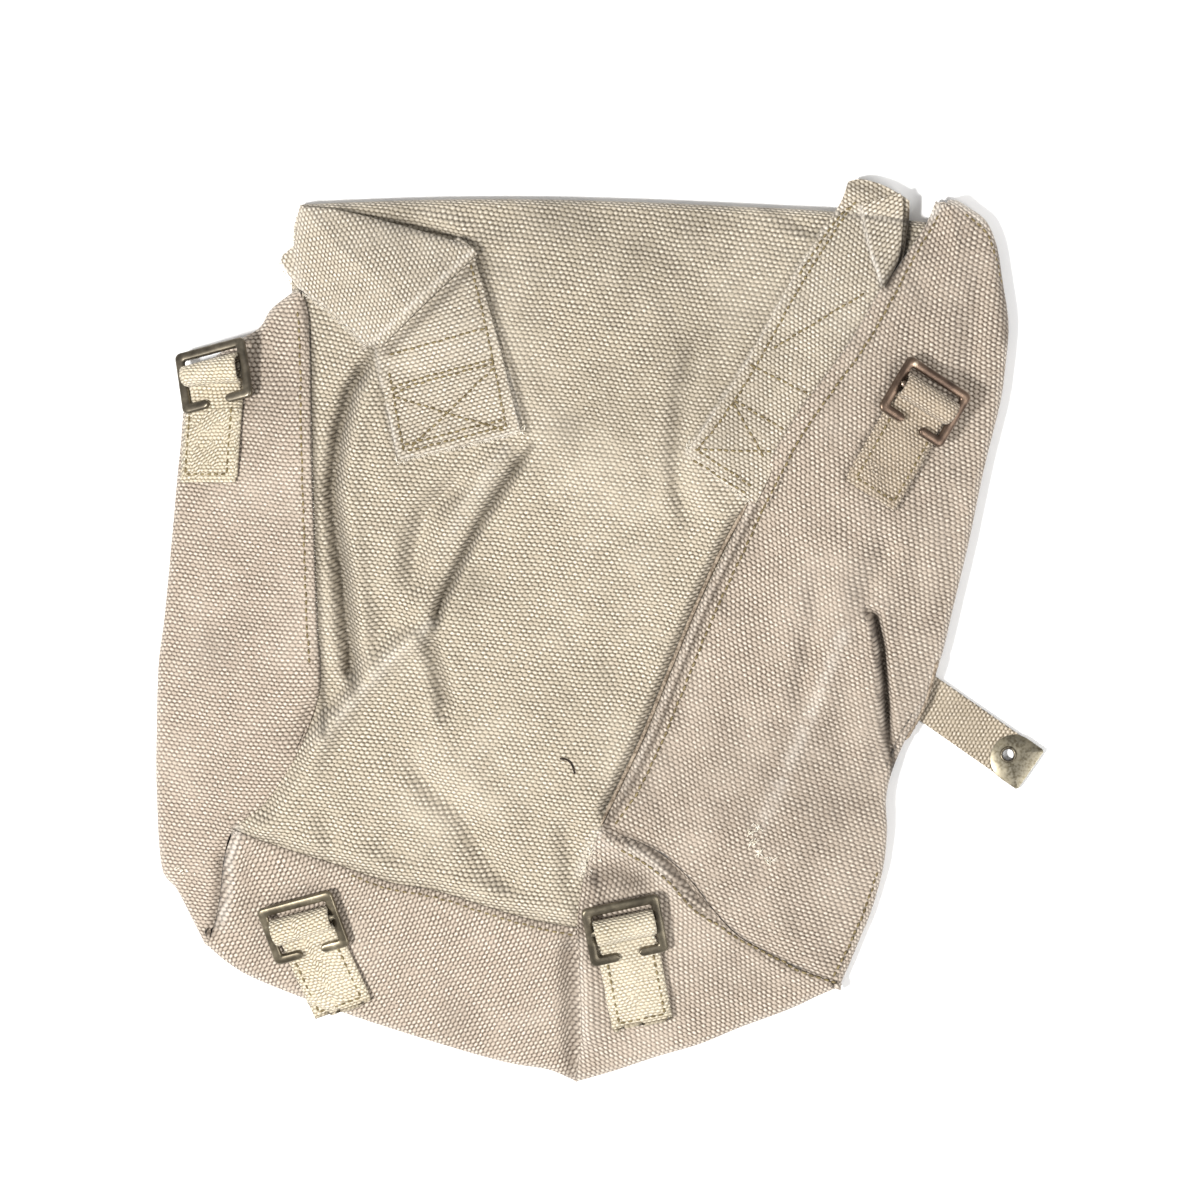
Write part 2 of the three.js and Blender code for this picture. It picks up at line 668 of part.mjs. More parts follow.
addPiece('back_panel', toGeometry(backPanel()), backCanvas);
addPiece('front_panel', toGeometry(frontPanel()), backCanvas);
addPiece('left_gusset', toGeometry(panelIn(leftRegion)), gussetCanvas);
addPiece('bottom_gusset', toGeometry(panelIn(bottomRegion)), gussetCanvas);
addPiece('right_gusset', toGeometry(panelIn(rightRegion)), gussetCanvas);
const leftTab = shoulderTab(leftTabShares, leftFoldShares);
const rightTab = shoulderTab(rightTabShares, rightFoldShares);
addPiece('left_shoulder_tab', toGeometry(leftTab), backCanvas);
addPiece('right_shoulder_tab', toGeometry(rightTab), backCanvas);
for (const buckle of buckles) {
  const metal = buckleGeometry();
  const chape = chapeGeometry(buckle.chape, buckle.swing);
  const seat = letDown(seatBuckle(buckle), [metal, chape]);
  addPiece(`${buckle.name}_buckle`, metal, brass, seat);
  addPiece(`${buckle.name}_chape`, chape, webbing, seat);
}
addPiece('closing_strap', toGeometry(strapBody()), webbing, strapTurn);
addPiece('strap_tip', toGeometry(tipBody()), brass, strapTurn);
addPiece('strap_eyelet', eyeletGeometry(), brass, strapTurn);

// Origin in the middle of the base
const whole = new THREE.Box3().setFromObject(model);
const middle = whole.getCenter(new THREE.Vector3());
model.children.forEach((mesh) => mesh.position.sub(new THREE.Vector3(middle.x, middle.y, whole.min.z)));

export default model;
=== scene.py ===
# %% [markdown]
# A worn canvas haversack
#
# The bag lies on its front, so the camera above sees its back. Blender's part of the work is the
# cloth: coarse canvas panels with soft folds, webbing with stitches, and dull brass buckles.
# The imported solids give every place, and this script dresses them in the same frame, in metres.

# %% Load the frame
import json
import math
import random

import bmesh
import bpy
import numpy as np
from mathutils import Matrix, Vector

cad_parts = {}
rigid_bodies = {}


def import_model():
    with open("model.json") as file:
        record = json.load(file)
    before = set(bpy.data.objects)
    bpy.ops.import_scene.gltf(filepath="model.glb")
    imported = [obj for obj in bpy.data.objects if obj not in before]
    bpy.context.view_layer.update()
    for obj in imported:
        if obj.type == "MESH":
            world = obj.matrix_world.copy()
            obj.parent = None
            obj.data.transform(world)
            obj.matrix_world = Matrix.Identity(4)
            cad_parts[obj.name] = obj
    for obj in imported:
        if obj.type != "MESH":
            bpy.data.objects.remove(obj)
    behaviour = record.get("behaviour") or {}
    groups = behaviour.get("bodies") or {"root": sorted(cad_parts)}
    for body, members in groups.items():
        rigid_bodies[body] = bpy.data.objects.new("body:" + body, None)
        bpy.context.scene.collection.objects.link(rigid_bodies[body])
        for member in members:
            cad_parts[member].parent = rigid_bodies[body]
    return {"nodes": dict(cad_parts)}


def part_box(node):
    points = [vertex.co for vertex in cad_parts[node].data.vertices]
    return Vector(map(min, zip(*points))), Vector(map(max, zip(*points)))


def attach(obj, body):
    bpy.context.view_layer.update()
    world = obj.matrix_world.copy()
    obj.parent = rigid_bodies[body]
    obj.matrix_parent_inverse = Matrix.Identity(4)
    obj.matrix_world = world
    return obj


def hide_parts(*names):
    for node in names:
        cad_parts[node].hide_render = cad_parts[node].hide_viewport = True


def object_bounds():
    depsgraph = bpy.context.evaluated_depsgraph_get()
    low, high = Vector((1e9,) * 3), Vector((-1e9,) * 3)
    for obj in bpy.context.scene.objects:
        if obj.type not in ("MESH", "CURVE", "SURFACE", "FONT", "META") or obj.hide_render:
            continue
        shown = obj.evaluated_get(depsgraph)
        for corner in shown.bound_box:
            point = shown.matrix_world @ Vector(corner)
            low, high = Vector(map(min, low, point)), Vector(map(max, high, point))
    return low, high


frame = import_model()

MM = 0.001
CAD_LOW, CAD_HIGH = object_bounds()
BODY = "root"
chance = random.Random(11)
print("frame box", [round(v, 4) for v in (*CAD_LOW, *CAD_HIGH)])

# %% [markdown]
# Measuring from the photograph
#
# The bag was photographed from straight above, so a place in the picture is a place in plan.
# The haversack's own extent in pixels and its extent in the frame give the scale between them.
# Every line below is written in pixels and turned into metres by one function.

# %% From pixels to metres
PHOTO_LEFT, PHOTO_RIGHT = 154.8, 1045.6
PHOTO_TOP, PHOTO_BOTTOM = 176.7, 1084.0
PIXEL = (CAD_HIGH.x - CAD_LOW.x) / (PHOTO_RIGHT - PHOTO_LEFT)


def plan(points):
    pixels = np.asarray(points, dtype=float)
    across = (pixels[..., 0] - (PHOTO_LEFT + PHOTO_RIGHT) / 2) * PIXEL
    along = ((PHOTO_TOP + PHOTO_BOTTOM) / 2 - pixels[..., 1]) * PIXEL
    return np.stack([across, along], axis=-1)


print("one pixel is", round(PIXEL / MM, 4), "mm")

# %% Edges and seams of the lying bag
TOP_EDGE = [(299, 203), (373, 200), (450, 198), (544, 198), (649, 201), (760, 206), (833, 210), (928, 221)]
TOP_LEFT_CORNER = [(299, 203), (293, 245), (297, 287)]
LEFT_EDGE = [
    (297, 287), (270, 308), (257, 328), (225, 347), (188, 385), (178, 455), (171, 530), (163, 616),
    (157, 664), (155, 728), (155, 791), (160, 868), (175, 890), (190, 919), (203, 945),
]
BOTTOM_EDGE_LEFT = [
    (203, 945), (230, 967), (262, 984), (341, 1014), (427, 1042), (504, 1064), (549, 1072), (576, 1084),
]
BOTTOM_EDGE_RIGHT = [
    (576, 1084), (617, 1072), (656, 1059), (700, 1046), (739, 1030), (790, 1011), (820, 997), (842, 988),
]
RIGHT_EDGE = [
    (946, 197), (956, 198), (971, 207), (987, 219), (998, 244), (1004, 280), (1010, 325), (1006, 372),
    (1001, 405), (985, 470), (970, 542), (955, 605), (943, 655), (924, 708), (907, 739), (893, 772),
    (887, 800), (888, 833), (884, 870), (872, 913), (858, 947), (842, 988),
]
LEFT_SEAM = [
    (299, 287), (307, 310), (310, 350), (313, 470), (318, 620), (321, 664), (318, 700), (300, 750),
    (268, 800), (234, 829),
]
LOW_LEFT_SEAM = [(234, 829), (224, 858), (219, 897), (213, 925), (203, 945)]
BOTTOM_SEAM = [(234, 829), (268, 842), (341, 865), (389, 881), (437, 890), (488, 906), (533, 919), (577, 927)]
CORNER_SEAM = [(577, 927), (580, 895), (588, 863), (601, 829)]
RIGHT_SEAM = [
    (937, 200), (925, 227), (898, 266), (880, 290), (850, 341), (790, 425), (748, 503), (724, 554),
    (699, 605), (673, 668), (647, 733), (621, 788), (601, 829),
]
LOW_RIGHT_SEAM = [
    (601, 829), (612, 833), (636, 840), (664, 855), (690, 879), (712, 908), (739, 936), (783, 962),
    (842, 988),
]
OUTLINE = plan(
    TOP_EDGE + RIGHT_EDGE + BOTTOM_EDGE_RIGHT[::-1] + BOTTOM_EDGE_LEFT[::-1]
    + LEFT_EDGE[::-1] + TOP_LEFT_CORNER[::-1]
)
print("outline points", len(OUTLINE))

# %% [markdown]
# The shape of the cloth
#
# A soft bag that lies flat swells from a doubled edge to a low crown, and folds run over it.
# It could be sculpted by hand or simulated, but a height for every place in plan is simpler to
# steer: one rule gives the crown, and a table adds a fold or a hollow per row. Each panel,
# tab and stitch asks the same function for its height, so everything lies on the same cloth.

# %% Distances in plan
CLOTH = {
    "lift": 2.5 * MM,  # the bag's underside above the floor, where it lies on its flap
    "edge": 3.0 * MM,  # radius of the doubled edge
    "crown": 27 * MM,
    "roll": 78 * MM,
    "canvas": 1.7 * MM,
}
FLAP_END_ROW = 729  # where the flap's lower edge lies, in pixels down the photograph
SLOPE_OFF = {"near": 22 * MM, "far": 74 * MM}  # below the flap's edge the bag comes down to the floor
SETTLE = 14 * MM  # width of the rim over which folds and crumples come in
LIP_AT, LIP_SPREAD = 2.0, 1.2  # place and width of a fold's lips, in widths of the fold


def ease(low, high, value):
    t = np.clip((value - low) / (high - low), 0, 1)
    return t * t * (3 - 2 * t)


def unit(vectors):
    return vectors / np.maximum(np.linalg.norm(vectors, axis=-1, keepdims=True), 1e-12)


def line_field(points, line):
    """Distance to a line, with its sign from the side, and how far along the line the foot lies."""
    best = np.full(len(points), 1e9)
    sign = np.ones(len(points))
    foot = np.zeros(len(points))
    steps = np.linalg.norm(np.diff(line, axis=0), axis=1)
    starts = np.concatenate([[0], np.cumsum(steps)])
    for i, (a, b) in enumerate(zip(line[:-1], line[1:])):
        run = b - a
        share = np.clip(((points - a) @ run) / max(run @ run, 1e-12), 0, 1)
        away = points - (a + share[:, None] * run)
        distance = np.linalg.norm(away, axis=1)
        closer = distance < best
        best = np.where(closer, distance, best)
        side = run[0] * (points[:, 1] - a[1]) - run[1] * (points[:, 0] - a[0])
        sign = np.where(closer, np.where(side >= 0, 1.0, -1.0), sign)
        foot = np.where(closer, (starts[i] + share * steps[i]) / starts[-1], foot)
    return best * sign, foot


def inside(points, polygon):
    x, y = points[:, 0], points[:, 1]
    result = np.zeros(len(points), dtype=bool)
    for a, b in zip(polygon, np.roll(polygon, -1, axis=0)):
        crosses = (a[1] > y) != (b[1] > y)
        rise = b[1] - a[1] if abs(b[1] - a[1]) > 1e-12 else 1e-12
        result ^= crosses & (x < (b[0] - a[0]) * (y - a[1]) / rise + a[0])
    return result


# %% Folds and hollows
# These lines serve twice: for a fold, and for the painted shade along it.
CREASE = [(531, 447), (506, 484), (480, 524), (458, 568), (442, 602), (433, 632)]
VALLEY = [(374, 352), (352, 390), (340, 434), (333, 490), (337, 530), (343, 578), (349, 634), (354, 690)]
CORNER_ROLL = [(603, 828), (630, 836), (658, 850), (680, 874), (708, 906)]
LOW_HEM = [(708, 912), (739, 938), (783, 962), (835, 984)]
UPRIGHT_FOLD = [(568, 936), (570, 990), (571, 1040), (570, 1074)]
LEFT_PUCKER = [(340, 208), (404, 222), (474, 243)]
RIGHT_PUCKER = [(762, 206), (784, 217), (815, 235)]
GUSSET_CREASE = [(860, 606), (875, 616), (882, 650), (885, 685), (888, 722), (893, 760), (896, 785)]

# %% Table of folds
# Lines run down the photograph or from left to right. Rise and lips in mm, width in mm.
# "far" is the side to the right of a line that runs down, and above one that runs across.
FOLDS = [
    # line, rise, width, far lip, near lip, fade at both ends
    # sharp crease that falls from the left tab's corner, with its crest on the left
    (CREASE, -6.0, 2.3, 0.6, 0.0, 0.10),
    ([(508, 440), (484, 476), (456, 516), (434, 560), (420, 596), (413, 630)], 3.4, 5.5, 0.0, 0.0, 0.12),
    ([(433, 630), (432, 648), (440, 676), (446, 700), (442, 726)], -4.0, 3.2, 0.6, 1.0, 0.16),
    # hollow inside that crease
    ([(476, 478), (448, 492), (427, 512), (417, 544), (415, 580), (416, 606)], -3.6, 4.5, 0.6, 1.6, 0.16),
    ([(474, 496), (450, 520), (436, 560), (428, 600)], -3.6, 9.0, 0.0, 0.0, 0.25),
    # long valley beside the left seam
    (VALLEY, -7.4, 3.4, 3.0, 0.6, 0.07),
    ([(392, 400), (376, 500), (384, 600)], 2.6, 12.0, 0.0, 0.0, 0.25),
    # ridge that runs down to the left over the valley's end
    ([(432, 622), (392, 656), (358, 692), (322, 738), (296, 770)], 4.4, 5.0, 0.0, -2.6, 0.14),
    ([(350, 676), (328, 708), (308, 736)], -3.0, 4.5, 0.0, 0.0, 0.25),
    # lower hollows
    ([(406, 748), (430, 782), (464, 812), (482, 846), (506, 878), (532, 896)], -3.8, 5.5, 1.4, 0.8, 0.2),
    ([(430, 770), (470, 826), (510, 872)], -1.4, 14.0, 0.0, 0.0, 0.3),
    ([(372, 832), (396, 846), (420, 866)], -1.8, 6.5, 0.0, 0.0, 0.3),
    ([(318, 796), (330, 830), (338, 868)], -2.4, 4.5, 0.6, 0.6, 0.3),
    ([(566, 812), (572, 850), (573, 900)], -3.0, 4.5, 0.0, 0.6, 0.2),
    # right half of the back
    ([(696, 332), (681, 392), (676, 440), (679, 490), (692, 536)], -2.8, 3.6, 0.5, 1.0, 0.15),
    ([(655, 590), (636, 640), (612, 700)], -2.0, 12.0, 0.0, 0.0, 0.3),
    ([(640, 330), (628, 420), (640, 520)], 1.4, 14.0, 0.0, 0.0, 0.3),
    ([(560, 300), (566, 430), (580, 520)], -1.6, 14.0, 0.0, 0.0, 0.3),
    ([(560, 640), (556, 720), (520, 800)], 1.6, 16.0, 0.0, 0.0, 0.3),
    (RIGHT_PUCKER, -2.6, 2.4, 0.4, 0.8, 0.2),
    (LEFT_PUCKER, -3.0, 2.6, 1.2, 0.0, 0.12),
    ([(478, 252), (500, 262), (530, 262)], -1.6, 5.0, 0.0, 0.0, 0.3),
    # beside the piped seam
    ([(744, 508), (720, 552), (695, 605), (669, 668), (643, 733), (617, 788), (600, 818)],
     -4.6, 2.4, 0.0, 1.6, 0.04),
    ([(757, 505), (732, 557), (707, 609), (681, 672), (655, 736), (629, 790)], -1.8, 1.6, 0.0, 0.0, 0.06),
    # right gusset
    (GUSSET_CREASE, -7.0, 1.9, 0.6, 1.4, 0.08),
    ([(862, 626), (868, 680), (868, 730), (872, 776)], 2.6, 6.0, 0.0, 0.0, 0.15),
    ([(896, 536), (872, 578), (860, 612)], -3.0, 5.0, 0.0, 0.6, 0.25),
    ([(821, 550), (816, 595), (810, 655), (790, 720)], -2.2, 5.0, 1.4, 0.0, 0.25),
    ([(786, 524), (755, 570), (724, 622)], -1.8, 7.0, 0.0, 0.0, 0.3),
    ([(962, 480), (956, 550)], -2.0, 6.0, 0.0, 0.0, 0.3),
    ([(985, 250), (976, 320), (968, 400)], -1.6, 5.0, 0.0, 0.0, 0.3),
    ([(690, 728), (660, 790), (640, 820)], -2.4, 9.0, 0.0, 0.0, 0.3),
    # bottom gusset's corner, a roll with a dark line above it
    (CORNER_ROLL, -3.2, 2.2, 0.0, 0.0, 0.08),
    ([(600, 842), (628, 850), (652, 864), (674, 890), (706, 924)], 2.4, 4.0, 0.0, 0.0, 0.12),
    (LOW_HEM, -1.6, 2.2, 0.4, 0.4, 0.06),
    ([(700, 960), (724, 978), (752, 995)], -1.2, 4.0, 0.0, 0.0, 0.3),
    ([(590, 880), (614, 876), (640, 884)], -3.4, 5.0, 0.0, 0.0, 0.2),
    (UPRIGHT_FOLD, -4.6, 4.0, 0.0, 0.0, 0.12),
    ([(585, 950), (587, 1000), (588, 1056)], 2.4, 4.5, 0.0, 0.0, 0.14),
    # seams
    (BOTTOM_SEAM[:5] + BOTTOM_SEAM[6:], -1.8, 3.0, 1.6, 0.0, 0.03),
    ([(234, 829), (222, 860), (220, 897), (212, 930)], -3.6, 3.2, 1.8, 0.4, 0.08),
    ([(316, 700), (300, 750), (268, 800), (234, 829)], -2.4, 4.0, 2.4, 0.0, 0.05),
    ([(244, 850), (262, 880), (272, 905)], -1.6, 5.0, 0.0, 0.0, 0.3),
    ([(230, 430), (240, 560), (232, 700)], -1.2, 12.0, 0.0, 0.0, 0.3),
    ([(205, 700), (212, 800), (206, 880)], -1.2, 8.0, 0.0, 0.0, 0.3),
    ([(440, 940), (460, 990), (476, 1040)], -1.2, 9.0, 0.0, 0.0, 0.3),
]


# %% Heights
def underside(points):
    """Height of the bag's lower face. It lies on the flap's layers in its upper part."""
    end = plan([(600, FLAP_END_ROW)])[0, 1]
    return CLOTH["lift"] * ease(end - SLOPE_OFF["far"], end - SLOPE_OFF["near"], points[..., 1])


CRUMPLES = [
    # length of the wave in mm, direction in degrees, height in mm
    (31, 20, 0.32), (24, -48, 0.26), (18, 75, 0.2), (14, -15, 0.13), (11, 50, 0.1),
]


def crumple(points):
    """Slight unevenness of cloth that has been crumpled for years."""
    height = np.zeros(len(points))
    for number, (length, degrees, rise) in enumerate(CRUMPLES):
        angle = math.radians(degrees)
        travel = (points[:, 0] * math.cos(angle) + points[:, 1] * math.sin(angle)) / (length * MM)
        across = (points[:, 1] * math.cos(angle) - points[:, 0] * math.sin(angle)) / (2.7 * length * MM)
        height += rise * MM * np.sin(2 * np.pi * travel + 2.4 * np.sin(2 * np.pi * across + number))
    return height


def edge_distance(points):
    return np.abs(line_field(points, np.vstack([OUTLINE, OUTLINE[:1]]))[0])


def bag_height(points):
    """Height of the bag's upper face: its doubled edge, its crown, its folds and its crumples."""
    points = np.atleast_2d(points)
    depth = np.where(inside(points, OUTLINE), edge_distance(points), 0)
    swell = np.sin(np.pi / 2 * np.clip(depth / CLOTH["roll"], 0, 1))
    rim = np.sqrt(np.clip(1 - (1 - np.clip(depth / CLOTH["edge"], 0, 1)) ** 2, 0, 1))
    height = underside(points) + CLOTH["edge"] * (1 + rim) + CLOTH["crown"] * swell
    settle = ease(0, SETTLE, depth)
    for line, rise, width, far, near, fade in FOLDS:
        away, foot = line_field(points, plan(line))
        spread = np.abs(away) / (width * MM)
        ends = ease(0, fade, foot) * ease(0, fade, 1 - foot)
        lip = np.where(away > 0, far, near) * np.exp(-((spread - LIP_AT) / LIP_SPREAD) ** 2)
        height += settle * ends * MM * (rise * np.exp(-spread ** 2) + lip)
    return height + settle * crumple(points)


print("height at the middle", round(float(bag_height(plan([(560, 600)]))[0]) / MM, 1), "mm")

# %% [markdown]
# Panels from four sides
#
# A sewn panel is a piece of cloth held by its four sides. A Coons patch fills the space between
# four lines with an even grid, which gives clean quads whose rows follow the seams. Each grid
# also keeps its unfolded place, so the weave runs straight over the cloth and round its edges.

# %% Grids
def smooth_line(line, count):
    """Even points on a soft curve through the given ones."""
    points = np.asarray(line, dtype=float)
    padded = np.vstack([2 * points[0] - points[1], points, 2 * points[-1] - points[-2]])
    fine = []
    for i in range(len(points) - 1):
        p0, p1, p2, p3 = padded[i:i + 4]
        for t in np.linspace(0, 1, 16, endpoint=False):
            fine.append(0.5 * (2 * p1 + (p2 - p0) * t + (2 * p0 - 5 * p1 + 4 * p2 - p3) * t ** 2
                               + (3 * p1 - p0 - 3 * p2 + p3) * t ** 3))
    fine.append(points[-1])
    fine = np.array(fine)
    travel = np.concatenate([[0], np.cumsum(np.linalg.norm(np.diff(fine, axis=0), axis=1))])
    targets = np.linspace(0, travel[-1], count)
    return np.stack([np.interp(targets, travel, fine[:, k]) for k in range(fine.shape[1])], axis=-1)


def forward(line):
    """Unit directions along a line."""
    return unit(np.gradient(line, axis=0))


def sideways(line):
    """Unit directions to the left of a line's travel."""
    return forward(line)[:, ::-1] * np.array([-1, 1])


def shifted(line, across, count=90):
    """A pixel line moved sideways in plan, to the left of its travel when positive."""
    points = smooth_line(plan(line), count)
    return points + sideways(points) * across


def drawn_in(line, count=90):
    """A pixel line moved towards the bag's middle by the radius of the doubled edge."""
    points = smooth_line(plan(line), count)
    normal = sideways(points)
    return points - normal * np.sign((points * normal).sum()) * CLOTH["edge"]


def straight(start, end):
    return np.stack([start, (np.asarray(start) + end) / 2, end])


# %% Patches and sheets
def coons(top, bottom, left, right, columns, rows):
    """Grid of plan points, rows from top to bottom and columns from left to right."""
    top, bottom = smooth_line(top, columns), smooth_line(bottom, columns)
    left, right = smooth_line(left, rows), smooth_line(right, rows)
    s = np.linspace(0, 1, columns)[None, :, None]
    t = np.linspace(0, 1, rows)[:, None, None]
    ruled = (1 - t) * top[None] + t * bottom[None] + (1 - s) * left[:, None] + s * right[:, None]
    corners = ((1 - s) * (1 - t) * top[0] + s * (1 - t) * top[-1]
               + (1 - s) * t * bottom[0] + s * t * bottom[-1])
    return ruled - corners


def lay(grid, above=0.0, least=0.0):
    """A sheet on the bag: its points, its unfolded place and the rise that bends its weave."""
    height = (bag_height(grid.reshape(-1, 2)) + above).reshape(grid.shape[:2])
    height = np.maximum(height, least)
    points = np.concatenate([grid, height[..., None]], axis=2)
    return {"points": points, "flat": grid.copy(), "rise": height.copy()}


def side_by_side(left, right):
    return {key: np.concatenate([left[key], right[key]], axis=1) for key in left}


def columns_of(points, flats, level):
    """A sheet of added columns, which keep the rise of the column that they start from."""
    rise = np.repeat(level[:, None], len(points), axis=1)
    return {"points": np.stack(points, axis=1), "flat": np.stack(flats, axis=1), "rise": rise}


# %% Hems and doubled edges
HEM_RISE = 1.5 * MM
HEM_RUN = 4.5 * MM
HEM_PROFILE = [(0.0, 0.0), (-0.15, 0.4), (0.0, 0.72), (0.3, 0.92), (0.8, 1.0)]
EDGE_TURN = [60, 30, 0, -30, -60, -90]


def hem(sheet, rise=HEM_RISE, bury=1.0 * MM):
    """Raises the first columns, as a turned hem with a tight round edge on the next panel."""
    points = sheet["points"].copy()
    rise = np.full(len(points), rise) if np.isscalar(rise) else rise
    travel = np.linalg.norm(points[:, :, :2] - points[:, :1, :2], axis=2)
    points[..., 2] += rise[:, None] * (1 - ease(HEM_RUN, 2.6 * HEM_RUN, travel))
    first = points[:, 0]
    inward = points[:, 1, :2] - first[:, :2]
    room = np.linalg.norm(inward, axis=1, keepdims=True)
    inward /= np.maximum(room, 1e-9)
    added, flats = [], []
    for offset, share in HEM_PROFILE:
        column = first.copy()
        move = inward * np.minimum(offset * MM, 0.4 * room)
        column[:, :2] += move
        column[:, 2] += (share - 1) * (rise + bury)
        added.append(column)
        flats.append(sheet["flat"][:, 0] + move)
    rest = {"points": points[:, 1:], "flat": sheet["flat"][:, 1:], "rise": sheet["rise"][:, 1:]}
    return side_by_side(columns_of(added, flats, sheet["rise"][:, 0]), rest)


# %% Turn round the bag's edge
CORNER_SHARE = 0.06  # how much of an edge takes part in the corner where two panels meet


def just_over_underside(place):
    return underside(place) + 0.2 * MM


def wrapped(sheet, radius=CLOTH["edge"], under=just_over_underside, below=None, meets=False):
    """Turns the last column round the bag's edge and carries the cloth on below it.

    Where two panels meet at a corner, both turn straight away from the bag's middle.
    """
    points, flat = sheet["points"], sheet["flat"]
    line = points[:, -1, :2]
    out = sideways(line)
    out = out * np.sign(((line - points[:, -3, :2]) * out).sum())
    if meets:
        share = np.linspace(0, 1, len(line))
        near = 1 - ease(0, CORNER_SHARE, np.minimum(share, 1 - share))[:, None]
        out = unit(out * (1 - near) + unit(line) * near)
    if below is None:
        picks = np.unique(np.linspace(0, points.shape[1] - 2, 12).astype(int))[::-1]
        below = points[:, picks, :2]
    top, low = points[:, -1, 2], under(line)
    added, flats = [], []
    for degrees in EDGE_TURN:
        angle = math.radians(degrees)
        z = (top + low) / 2 + (top - low) / 2 * math.sin(angle)
        added.append(np.column_stack([line + out * radius * math.cos(angle), z]))
        arc = (radius + (top - low) / 2) / 2 * math.radians(90 - degrees)
        flats.append(flat[:, -1] + out * arc[:, None])
    for k in range(below.shape[1]):
        place = below[:, k]
        added.append(np.column_stack([place, under(place)]))
        reach = np.linalg.norm(place - line, axis=1)
        flats.append(flat[:, -1] + out * (arc + reach)[:, None])
    return side_by_side(sheet, columns_of(added, flats, sheet["rise"][:, -1]))


# %% Weave coordinates
WEAVE_PULL = (0.15, 0.3)  # how far the relief shifts the weave, along and across its rows


def weave_map(sheet, turn, low_turn=None):
    """Weave coordinates for rows that run at an angle, given for the top and the bottom."""
    flat, rise = sheet["flat"], sheet["rise"]
    low_turn = turn if low_turn is None else low_turn
    share = np.clip((flat[..., 1] - CAD_LOW.y) / (CAD_HIGH.y - CAD_LOW.y), 0, 1)
    angle = np.radians(low_turn + (turn - low_turn) * share)
    place = flat - flat.reshape(-1, 2).mean(axis=0)
    u = place[..., 0] * np.cos(angle) + place[..., 1] * np.sin(angle) + WEAVE_PULL[0] * rise
    v = place[..., 1] * np.cos(angle) - place[..., 0] * np.sin(angle) + WEAVE_PULL[1] * rise
    return np.stack([u, v], axis=-1)


# %% Meshes from grids
def new_object(name, data):
    piece = bpy.data.objects.new(name, data)
    bpy.context.scene.collection.objects.link(piece)
    return piece


def mesh_from(name, vertices, faces, uvs=None, marks=None):
    mesh = bpy.data.meshes.new(name)
    mesh.from_pydata([tuple(v) for v in vertices], [], [tuple(f) for f in faces])
    if uvs is not None:
        layer = mesh.uv_layers.new(name="weave")
        index = np.empty(len(mesh.loops), dtype=np.int32)
        mesh.loops.foreach_get("vertex_index", index)
        layer.data.foreach_set("uv", np.asarray(uvs, dtype=np.float32)[index].ravel())
    for key, values in (marks or {}).items():
        mark = mesh.attributes.new(key, "FLOAT", "POINT")
        mark.data.foreach_set("value", np.asarray(values, dtype=np.float32))
    mesh.polygons.foreach_set("use_smooth", [True] * len(mesh.polygons))
    mesh.update()
    return mesh


def grid_faces(rows, columns, start=0, flip=False):
    index = start + np.arange(rows * columns).reshape(rows, columns)
    a, b = index[:-1, :-1].ravel(), index[:-1, 1:].ravel()
    c, d = index[1:, 1:].ravel(), index[1:, :-1].ravel()
    return np.stack([a, b, c, d] if flip else [a, d, c, b], axis=1)


UPPER_COLUMNS = slice(5, 20)  # columns that lie on the upper face, whose normals must point up


def cloth_piece(name, sheets, thickness):
    """One object of one or more sheets, each with its weave map, and real thickness below them."""
    vertices, faces, uvs, start = [], [], [], 0
    for sheet, uv in sheets:
        grid = sheet["points"]
        rows, columns = grid.shape[:2]
        upper = grid[:, UPPER_COLUMNS]
        across, along = upper[:-1, 1:] - upper[:-1, :-1], upper[1:, :-1] - upper[:-1, :-1]
        up = np.cross(across, along)[..., 2].sum()
        faces.append(grid_faces(rows, columns, start, flip=up > 0))
        start += rows * columns
        vertices.append(grid.reshape(-1, 3))
        uvs.append(uv.reshape(-1, 2))
    vertices = np.vstack(vertices)
    marks = {name: mark(vertices[:, :2]) for name, mark in MARKS.items()}
    mesh = mesh_from(name, vertices, np.vstack(faces), np.vstack(uvs), marks)
    piece = new_object(name, mesh)
    thick = piece.modifiers.new("thickness", "SOLIDIFY")
    thick.thickness = thickness
    thick.offset = -1
    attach(piece, BODY)
    return piece
